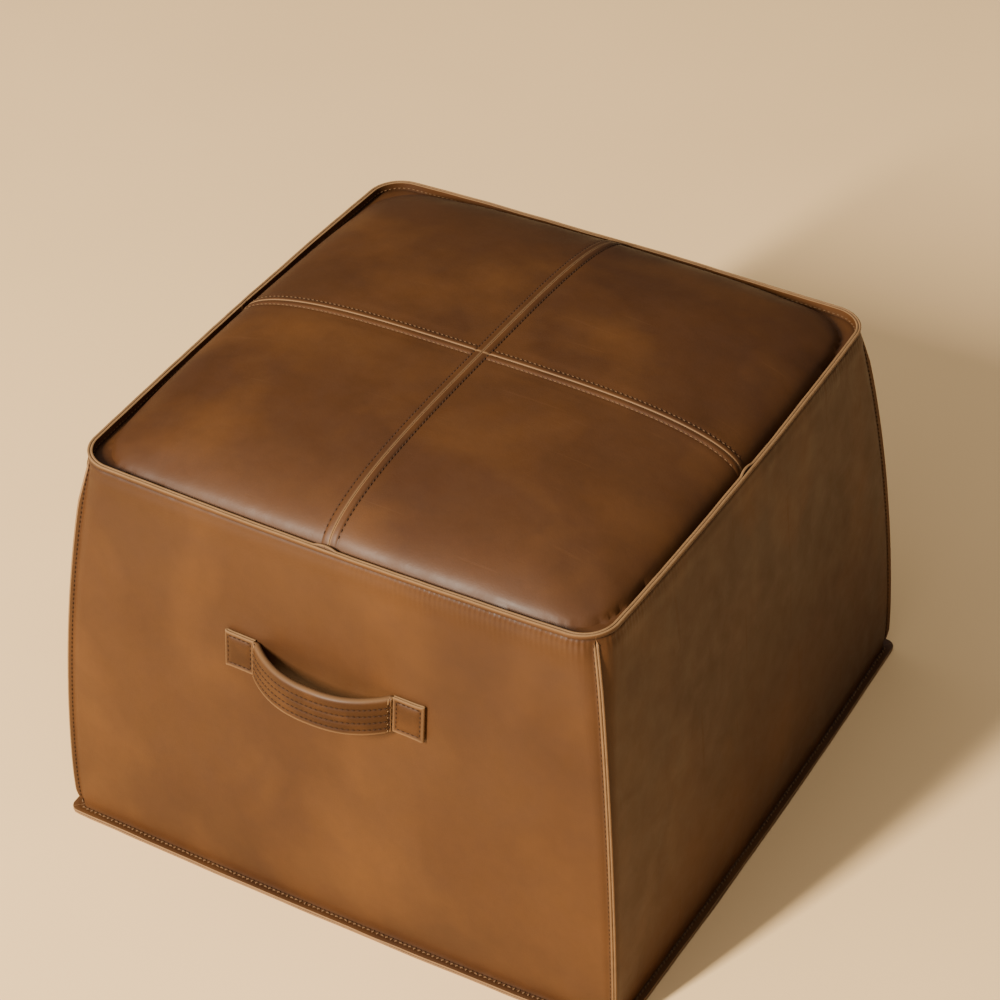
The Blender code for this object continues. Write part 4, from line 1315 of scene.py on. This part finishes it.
def handle_frame():
    """The handle's own frame, from its hinge: X along the strap, -Y out of the wall, Z up it."""
    joint = next(j for j in frame["joints"] if j["name"] == "handle_lift")
    along = -Vector(joint["axis"]).normalized()
    share = wall_share(HANDLE_HEIGHT)
    rise = 0.001 * (RIM_LEVEL - FOOT_LEVEL)
    lean = math.atan((wall_half(share) - wall_half(share + 0.001)) / rise)
    up = Matrix.Rotation(-lean, 3, "X") @ Matrix.Rotation(HANDLE_TILT, 3, "Y") @ Vector((0.0, 0.0, 1.0))
    inward = up.cross(along).normalized()
    place = Matrix((along, inward, up)).transposed().to_4x4()
    place.translation = Vector(joint["pos_m"])
    return place


def arch_at(x):
    """How far the grip stands off and hangs down at x, 0 to 1."""
    span = GRIP_LENGTH / 2 - GRIP_FLAT
    return max(0.0, 1 - min(abs(x) / span, 1.0) ** GRIP_ARCH)


def arch_normal(x):
    step = 0.0008
    rise = -GRIP_REACH * (arch_at(x + step) - arch_at(x - step)) / (2 * step)
    return Vector((rise, -1.0, 0.0)).normalized()


GRIP_ROWS = (-0.0125, -0.0057, 0.0011, 0.0079)  # heights of the rows of stitches along the grip
STRAP_FINISHES = ("strap_hide", "strap_edge", "strap_edge")
SPLIT = 0.040  # each end of the grip bends between the wall and the hand over the length beyond this
GRIP_PARTS = (("left", -GRIP_LENGTH / 2, -SPLIT), ("middle", -SPLIT, SPLIT), ("right", SPLIT, GRIP_LENGTH / 2))


def grip_point(x, depth, height):
    share = arch_at(x)
    back = Vector((x, -GRIP_REACH * share, -GRIP_DROOP * share - STRAP_WIDTH / 2 + height))
    return back + arch_normal(x) * depth


def grip_thickness(x):
    return GRIP_THICKNESS - 0.0013 * step_up(GRIP_LENGTH / 2 - 0.007, GRIP_LENGTH / 2, abs(x))


def grip_relief(x, height):
    """The front of the grip is drawn in along its rows of stitches and swells between them."""
    sunk = sum(bump(height, row, 0.0010) for row in GRIP_ROWS)
    ends = bump(abs(x), GRIP_LENGTH / 2 - 0.0045, 0.0011)
    return 0.0003 - 0.0006 * max(sunk, ends) + 0.00015 * lumps(Vector((x, height, 0.0)), 90.0, 50)


def grip_profile():
    """(depth share, height, front) round the folded sleeve, from its front lower edge to its back one."""
    radius = GRIP_THICKNESS / 2
    low, high = -STRAP_WIDTH / 2, STRAP_WIDTH / 2 - radius
    front = [(1.0, between(low, high, step / 34), 1.0) for step in range(34)]
    fold = []
    for step in range(11):
        angle = math.pi * step / 10
        fold.append((0.5 + 0.5 * math.cos(angle), high + radius * math.sin(angle), 1 - step / 10))
    back = [(0.0, between(high, low, step / 16), 0.0) for step in range(1, 17)]
    return front + fold + back


def make_grip(place):
    reach = GRIP_LENGTH / 2
    steps = 150
    profile = grip_profile()
    points, marks, uvs = [], [], []
    for column in range(steps + 1):
        x = between(-reach, reach, column / steps)
        line, mark, uv = [], [], []
        travelled = 0.0
        thick = grip_thickness(x)
        before = Vector((profile[0][0] * thick, profile[0][1]))
        for share, height, front in profile:
            waver = 0.0
            if height < 0.006 - STRAP_WIDTH / 2:
                waver = 0.0005 * lumps(Vector((x, 0.0, 0.0)), 30.0, 51)
            depth = share * thick + front * grip_relief(x, height)
            line.append(place @ grip_point(x, depth, height + waver))
            # Rubbed wear and painted highlight on the fold and the lower raw edge; painted shade in the sunk rows of
            # stitches.
            fold = bump(height, STRAP_WIDTH / 2 - 0.0004, 0.0013)
            low = bump(height, -STRAP_WIDTH / 2, 0.0012) * front
            sunk = max(bump(height, level, 0.0007) for level in GRIP_ROWS) * front
            mark.append((min(1.0, 0.5 * fold + 0.8 * low), 0.45 * sunk))
            here = Vector((share * thick, height))
            travelled += (here - before).length
            before = here
            uv.append((x, travelled))
        points.append(line)
        marks.append(mark)
        uvs.append(uv)
    return leather_piece("handle_sleeve", points, STRAP_FINISHES, 0.0017, marks, uvs)


def make_strap(place):
    """The strap inside the sleeve, whose lower edge shows between the sleeve's raw edges."""
    reach = GRIP_LENGTH / 2 - 0.0006
    steps = 90
    points, uvs = [], []
    for column in range(steps + 1):
        x = between(-reach, reach, column / steps)
        line, uv = [], []
        for row in range(9):
            height = between(-STRAP_WIDTH / 2 + 0.0004, STRAP_WIDTH / 2 - 0.0036, row / 8)
            line.append(place @ grip_point(x, grip_thickness(x) - 0.0020, height))
            uv.append((x, height))
        points.append(line)
        uvs.append(uv)
    return leather_piece("handle_strap", points, ["strap_edge"] * 3, 0.0023, None, uvs)


def follow_grip(part, name, place):
    """The middle of the grip lifts with the handle, and each end bends between the wall and the middle."""
    if name == "middle":
        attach(part, "handle")
        return
    side = -1 if name == "left" else 1
    start = place @ Vector((side * (GRIP_LENGTH / 2 - 0.001), 0.0, 0.0))
    end = place @ Vector((side * (SPLIT + 0.003), 0.0, 0.0))
    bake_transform(part, "root", "handle", start=start, end=end)


def share_out(piece, place, replaced):
    """Cuts a piece of the grip in three: two ends that bend from the wall, and a middle that lifts."""
    inverse = place.inverted()
    normals = [Vector(v.vector) for v in piece.data.vertex_normals]
    for name, low, high in (("left", -1.0, -SPLIT), ("middle", -SPLIT, SPLIT), ("right", SPLIT, 1.0)):
        shape = bmesh.new()
        shape.from_mesh(piece.data)
        source = shape.verts.layers.int.new("source")
        for point in shape.verts:
            point[source] = point.index
        away = [face for face in shape.faces if not low <= (inverse @ face.calc_center_median()).x < high]
        bmesh.ops.delete(shape, geom=away, context="FACES")
        mesh = bpy.data.meshes.new(piece.name + "_" + name)
        shape.to_mesh(mesh)
        shape.free()
        part = bpy.data.objects.new(mesh.name, mesh)
        bpy.context.scene.collection.objects.link(part)
        for material in piece.data.materials:
            mesh.materials.append(material)
        kept = [normals[item.value] for item in mesh.attributes["source"].data]
        mesh.attributes.remove(mesh.attributes["source"])
        mesh.normals_split_custom_set_from_vertices(kept)
        follow_grip(part, name, place)
        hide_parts(replaced)
    mesh = piece.data
    bpy.data.objects.remove(piece)
    bpy.data.meshes.remove(mesh)


def tab_back(x):
    """How far behind the hinge's plane the wall lies at x."""
    share = wall_share(HANDLE_HEIGHT)
    straight = wall_half(share) - wall_radius(share)
    return SIDE_BOW * (x / straight) ** 2 + TAB_SEAT - 0.0004


def make_tab(side, place):
    """A strap end, folded under and sewn down in a box: its front, its fold and its back layer."""
    start = GRIP_LENGTH / 2 + GAP
    radius = LEATHER + GAP / 2
    bend = start + TAB_LENGTH - radius
    front = [(between(start, bend, step / 26), 2 * radius, 1.0) for step in range(27)]
    fold = []
    for step in range(1, 9):
        angle = math.pi * step / 8
        fold.append((bend + radius * math.sin(angle), radius + radius * math.cos(angle), 1 - step / 8))
    back = [(between(bend, start, step / 8), 0.0, 0.0) for step in range(1, 9)]
    points, marks, uvs = [], [], []
    rows = 30
    for x, depth, face in front + fold + back:
        line, mark, uv = [], [], []
        for row in range(rows + 1):
            height = between(-STRAP_WIDTH / 2, STRAP_WIDTH / 2, row / rows)
            inset = min(x - start, start + TAB_LENGTH - x, STRAP_WIDTH / 2 - abs(height))
            relief = 0.0005 * step_up(0.0036, 0.008, inset) - 0.0006 * bump(inset, TAB_SEWING, 0.0008)
            flare = 0.0006 * bump(x, start + TAB_LENGTH, 0.004) * height / (STRAP_WIDTH / 2)
            waver = 0.0003 * lumps(Vector((x, height, side)), 70.0, 52)
            out = depth + face * (relief + waver)
            line.append(place @ Vector((side * x, tab_back(x) - out, height + flare - STRAP_WIDTH / 2)))
            # Rubbed wear and painted highlight round the edge of the strap end; painted shade along its box of
            # stitches.
            rub_and_highlight = 0.75 * bump(inset, 0.0, 0.0016)
            mark.append((rub_and_highlight, 0.3 * bump(inset, TAB_SEWING, 0.0007) * face))
            uv.append((side * x, height + (1 - face) * 0.05))
        points.append(line)
        marks.append(mark)
        uvs.append(uv)
    if side < 0:
        points, marks, uvs = points[::-1], marks[::-1], uvs[::-1]
    name = "right" if side > 0 else "left"
    piece = leather_piece("strap_end_" + name, points, STRAP_FINISHES, 0.0019, marks, uvs)
    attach(piece, "root")
    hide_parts("handle_tab_" + name)


def tab_stitches(side, place):
    start = GRIP_LENGTH / 2 + GAP
    left, right = start + TAB_SEWING, start + TAB_LENGTH - TAB_SEWING
    half = STRAP_WIDTH / 2 - TAB_SEWING
    corners = ((left, half), (right, half), (right, -half), (left, -half), (left, half))
    depth = 2 * (LEATHER + GAP / 2) - 0.0005
    out = place.to_3x3() @ Vector((0.0, -1.0, 0.0))
    rows = []
    for (x0, z0), (x1, z1) in zip(corners, corners[1:]):
        line = []
        for step in range(9):
            x, height = between(x0, x1, step / 8), between(z0, z1, step / 8)
            line.append(place @ Vector((side * x, tab_back(x) - depth, height - STRAP_WIDTH / 2)))
        rows.append(facing(line, 0.0042, out))
    return rows


def grip_stitches(low, high, place):
    """Stitches of the grip between two distances along it: four long rows, and one up each end."""
    rows = []
    turn = place.to_3x3()
    first, last = max(low, -GRIP_LENGTH / 2 + 0.006), min(high, GRIP_LENGTH / 2 - 0.006)
    for height in GRIP_ROWS:
        line = []
        for step in range(61):
            x = between(first, last, step / 60)
            line.append(place @ grip_point(x, grip_thickness(x) + grip_relief(x, height), height))
        row = []
        for middle, along in evenly(line, 0.0046):
            x = (place.inverted() @ middle).x
            row.append((middle, along, turn @ arch_normal(x)))
        rows.append(row)
    for side in (-1, 1):
        x = side * (GRIP_LENGTH / 2 - 0.0045)
        if low <= x <= high:
            line = []
            for step in range(13):
                height = between(-STRAP_WIDTH / 2 + 0.003, STRAP_WIDTH / 2 - 0.0035, step / 12)
                line.append(place @ grip_point(x, grip_thickness(x) + grip_relief(x, height), height))
            rows.append(facing(line, 0.0040, turn @ arch_normal(x)))
    return rows


def make_handle():
    place = handle_frame()
    share_out(make_grip(place), place, "handle_grip")
    share_out(make_strap(place), place, "handle_core")
    thread = bpy.context.scene.pouf_sizes.thread
    for name, low, high in GRIP_PARTS:
        rows = grip_stitches(low, high, place)
        part = stitches("grip_stitches_" + name, rows, "brown_thread", 0.0034, thread * 1.15, "handle_leather")
        follow_grip(part, name, place)
    rows = []
    for side in (-1, 1):
        make_tab(side, place)
        rows += tab_stitches(side, place)
    cover_stitches("strap_end_stitches", rows, "brown_thread", 0.0031, thread * 0.9, slot_name="handle_leather")


# ---------------------------------------------------------------- the zip and the filling


def coil_shape(side):
    """One nylon coil: a round wire turned along the zip."""
    steps = COIL_TURNS * 8
    length = ZIP_LENGTH - 2 * (STOP_LENGTH + GAP) - 0.001
    shape = bmesh.new()
    y = ZIP_OFFSET + side * (CHAIN_GAP / 2 + COIL_WIDTH / 2)
    middle = Vector((-length / 2, y, COIL_LEVEL + COIL_THICKNESS / 2))
    reach = Vector((0.0, 0.0, COIL_THICKNESS / 2 - COIL_WIRE))
    seat = Matrix.Translation(middle + reach) @ Matrix.Rotation(math.pi / 2, 4, "X")
    bmesh.ops.create_circle(shape, cap_ends=False, segments=5, radius=COIL_WIRE, matrix=seat)
    bmesh.ops.spin(
        shape,
        geom=shape.edges[:],
        cent=middle,
        axis=(1.0, 0.0, 0.0),
        dvec=(length / steps, 0.0, 0.0),
        angle=COIL_TURNS * 2 * math.pi,
        steps=steps,
        use_merge=False,
    )
    for point in shape.verts:
        point.co.y = middle.y + (point.co.y - middle.y) * (COIL_WIDTH / COIL_THICKNESS)
    bmesh.ops.holes_fill(shape, edges=shape.edges, sides=5)
    bmesh.ops.recalc_face_normals(shape, faces=shape.faces)
    for face in shape.faces:
        face.smooth = True
    return shape


def make_zip():
    for name, side in (("front", -1), ("rear", 1)):
        piece = to_object("zip_teeth_" + name, coil_shape(side), ["nylon"])
        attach(piece, "root")
        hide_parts("zip_coil_" + name)
    dress("tape", "zip_tape_front", "zip_tape_rear")
    dress("suede", "zip_facing_front", "zip_facing_rear")
    dress("brass", "zip_stop_left", "zip_stop_right", "zip_slider", "zip_pull")
    rows = []
    for side in (-1, 1):
        for offset in ZIP_SEWING:
            y = ZIP_OFFSET + side * (ZIP_SLOT / 2 + offset)
            line = [Vector((end * ZIP_LENGTH / 2, y, 0.0005)) for end in (-1, 1)]
            rows.append(facing(line, STITCH, Vector((0.0, 0.0, -1.0))))
    cover_stitches("stitches_zip", rows, "brown_thread", 0.0032, 0.0006)


def dress(material, *nodes):
    """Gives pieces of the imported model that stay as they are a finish."""
    for node in nodes:
        piece = frame["nodes"][node]
        piece.data.materials.clear()
        piece.data.materials.append(finish(material))


def make_filling():
    dress("cotton", "bag_body", "bag_base", "seam_stay_long", "seam_stay_left", "seam_stay_right")
    dress("suede", "handle_patch_left", "handle_patch_right")
    dress("wadding", "wadding_wrap", "wadding_topper")
    dress("foam", "foam_core")


# ---------------------------------------------------------------- the stage

CAMERA_PLACE = Vector((1.0403, -1.7073, 1.8443))
CAMERA_AIM = Vector((-0.0067, 0.0336, 0.2409))
CAMERA_ROLL = math.radians(-1.6236)
CAMERA_LENS = 105.34
KEY_PLACE = (-1.02, -3.6, 2.60)
KEY_AIM = (-0.2, 0.0, 0.2)
KEY_SIZE = (0.32, 1.33)
KEY_POWER = 620.0
KEY_COLOUR = (1.0, 0.94, 0.80)
WINDOW_WAY = (-0.38, -0.85, 0.36)  # towards the brighter side of the room


def add_area(name, place, aim, size, power, colour):
    light = bpy.data.lights.new(name, "AREA")
    light.shape = "RECTANGLE"
    light.size, light.size_y = size
    light.energy = power
    light.color = colour
    lamp = bpy.data.objects.new(name, light)
    lamp.location = place
    lamp.rotation_euler = (Vector(aim) - Vector(place)).to_track_quat("-Z", "Y").to_euler()
    bpy.context.scene.collection.objects.link(lamp)


def make_stage():
    camera = bpy.data.cameras.new("camera")
    camera.lens = CAMERA_LENS
    camera.sensor_width = 36.0
    eye = bpy.data.objects.new("camera", camera)
    eye.location = CAMERA_PLACE
    look = (CAMERA_AIM - CAMERA_PLACE).to_track_quat("-Z", "Y").to_matrix()
    eye.rotation_euler = (look @ Matrix.Rotation(CAMERA_ROLL, 3, "Z")).to_euler()
    bpy.context.scene.collection.objects.link(eye)
    bpy.context.scene.camera = eye

    shape = bmesh.new()
    bmesh.ops.create_grid(shape, x_segments=4, y_segments=4, size=6.0)
    floor = to_object("floor", shape, [])
    material, tree, shader = new_material("floor_paint", roughness=0.9, specular_ior_level=0.2)
    mottle = cloudy(tree, surface_vector(tree), 2.2, 3.0, 0.3, 0.5)
    pale = tuple(bpy.context.scene.pouf_colours.floor)
    shade = tuple(c * 0.95 for c in pale)
    tree.links.new(mixed(tree, spread(tree, mottle, 0.3, 0.7), shade, pale), shader.inputs["Base Color"])
    bumped(tree, shader, cloudy(tree, surface_vector(tree), 400.0, 4.0), 0.08, 0.0003)
    floor.data.materials.append(material)

    add_area("key_light", KEY_PLACE, KEY_AIM, KEY_SIZE, KEY_POWER, KEY_COLOUR)

    world = bpy.data.worlds.new("room")
    world.use_nodes = True
    tree = world.node_tree
    sky = tree.nodes["Background"]
    sky.inputs["Color"].default_value = (1.0, 0.97, 0.92, 1.0)
    towards = make(tree, "VectorMath")
    towards.operation = "DOT_PRODUCT"
    towards.inputs[1].default_value = WINDOW_WAY
    direction = make(tree, "TexCoord").outputs["Generated"]
    tree.links.new(direction, towards.inputs[0])
    window = spread(tree, towards.outputs["Value"], 0.0, 1.0, 0.09, 1.0)
    up = make(tree, "SeparateXYZ")
    tree.links.new(direction, up.inputs[0])
    ceiling = spread(tree, up.outputs["Z"], 0.72, 1.0, 0.0, 0.95)
    tree.links.new(calculate(tree, "ADD", window, ceiling), sky.inputs["Strength"])
    bpy.context.scene.world = world


# ---------------------------------------------------------------- operators and panel

stitch_lines = {}


class PoufOperator(Operator):
    bl_options = {"REGISTER", "UNDO"}


class POUF_OT_stage(PoufOperator):
    """Add the floor, the lights and the camera"""

    bl_idname = "pouf.stage"
    bl_label = "Stage"

    def execute(self, context):
        make_stage()
        return {"FINISHED"}


class POUF_OT_top(PoufOperator):
    """Add the four stuffed quarters of the top, with their standing hem"""

    bl_idname = "pouf.top"
    bl_label = "Top"

    def execute(self, context):
        make_top()
        return {"FINISHED"}


class POUF_OT_walls(PoufOperator):
    """Add the four walls, with their hems and raised corner seams"""

    bl_idname = "pouf.walls"
    bl_label = "Walls"

    def execute(self, context):
        stitch_lines.update(make_walls())
        return {"FINISHED"}


class POUF_OT_base(PoufOperator):
    """Add the two sheets of the base"""

    bl_idname = "pouf.base"
    bl_label = "Base"

    def execute(self, context):
        make_base()
        return {"FINISHED"}


class POUF_OT_stitches(PoufOperator):
    """Add the stitches of every seam of the cover"""

    bl_idname = "pouf.stitches"
    bl_label = "Stitches"

    def execute(self, context):
        if not stitch_lines:
            raise RuntimeError("the walls come before their stitches")
        make_stitches(stitch_lines)
        return {"FINISHED"}


class POUF_OT_handle(PoufOperator):
    """Add the strap handle, its sewn ends and its stitches"""

    bl_idname = "pouf.handle"
    bl_label = "Handle"

    def execute(self, context):
        make_handle()
        return {"FINISHED"}


class POUF_OT_zip(PoufOperator):
    """Add the coils and stitches of the zip, and finish its other pieces"""

    bl_idname = "pouf.zip"
    bl_label = "Zip"

    def execute(self, context):
        make_zip()
        return {"FINISHED"}


class POUF_OT_filling(PoufOperator):
    """Finish the bag, the wadding, the foam and the hidden stays and patches"""

    bl_idname = "pouf.filling"
    bl_label = "Filling"

    def execute(self, context):
        make_filling()
        return {"FINISHED"}


STEPS = (
    POUF_OT_stage,
    POUF_OT_top,
    POUF_OT_walls,
    POUF_OT_base,
    POUF_OT_stitches,
    POUF_OT_handle,
    POUF_OT_zip,
    POUF_OT_filling,
)


class POUF_PT_panel(Panel):
    """Pouf"""

    bl_idname = "POUF_PT_panel"
    bl_label = "Leather Pouf"
    bl_space_type = "VIEW_3D"
    bl_region_type = "UI"
    bl_category = "Pouf"

    def draw(self, context):
        for settings in (context.scene.pouf_sizes, context.scene.pouf_colours):
            for name in settings.bl_rna.properties.keys():
                if name not in ("rna_type", "name"):
                    self.layout.prop(settings, name)
        for step in STEPS:
            self.layout.operator(step.bl_idname)


CLASSES = (PoufSizes, PoufColours, *STEPS, POUF_PT_panel)


def register():
    for item in CLASSES:
        bpy.utils.register_class(item)
    bpy.types.Scene.pouf_sizes = bpy.props.PointerProperty(type=PoufSizes)
    bpy.types.Scene.pouf_colours = bpy.props.PointerProperty(type=PoufColours)


def unregister():
    del bpy.types.Scene.pouf_colours
    del bpy.types.Scene.pouf_sizes
    for item in reversed(CLASSES):
        bpy.utils.unregister_class(item)


def main():
    register()
    bpy.ops.pouf.stage()
    bpy.ops.pouf.top()
    bpy.ops.pouf.walls()
    bpy.ops.pouf.base()
    bpy.ops.pouf.stitches()
    bpy.ops.pouf.handle()
    bpy.ops.pouf.zip()
    bpy.ops.pouf.filling()


if __name__ == "__main__":
    main()
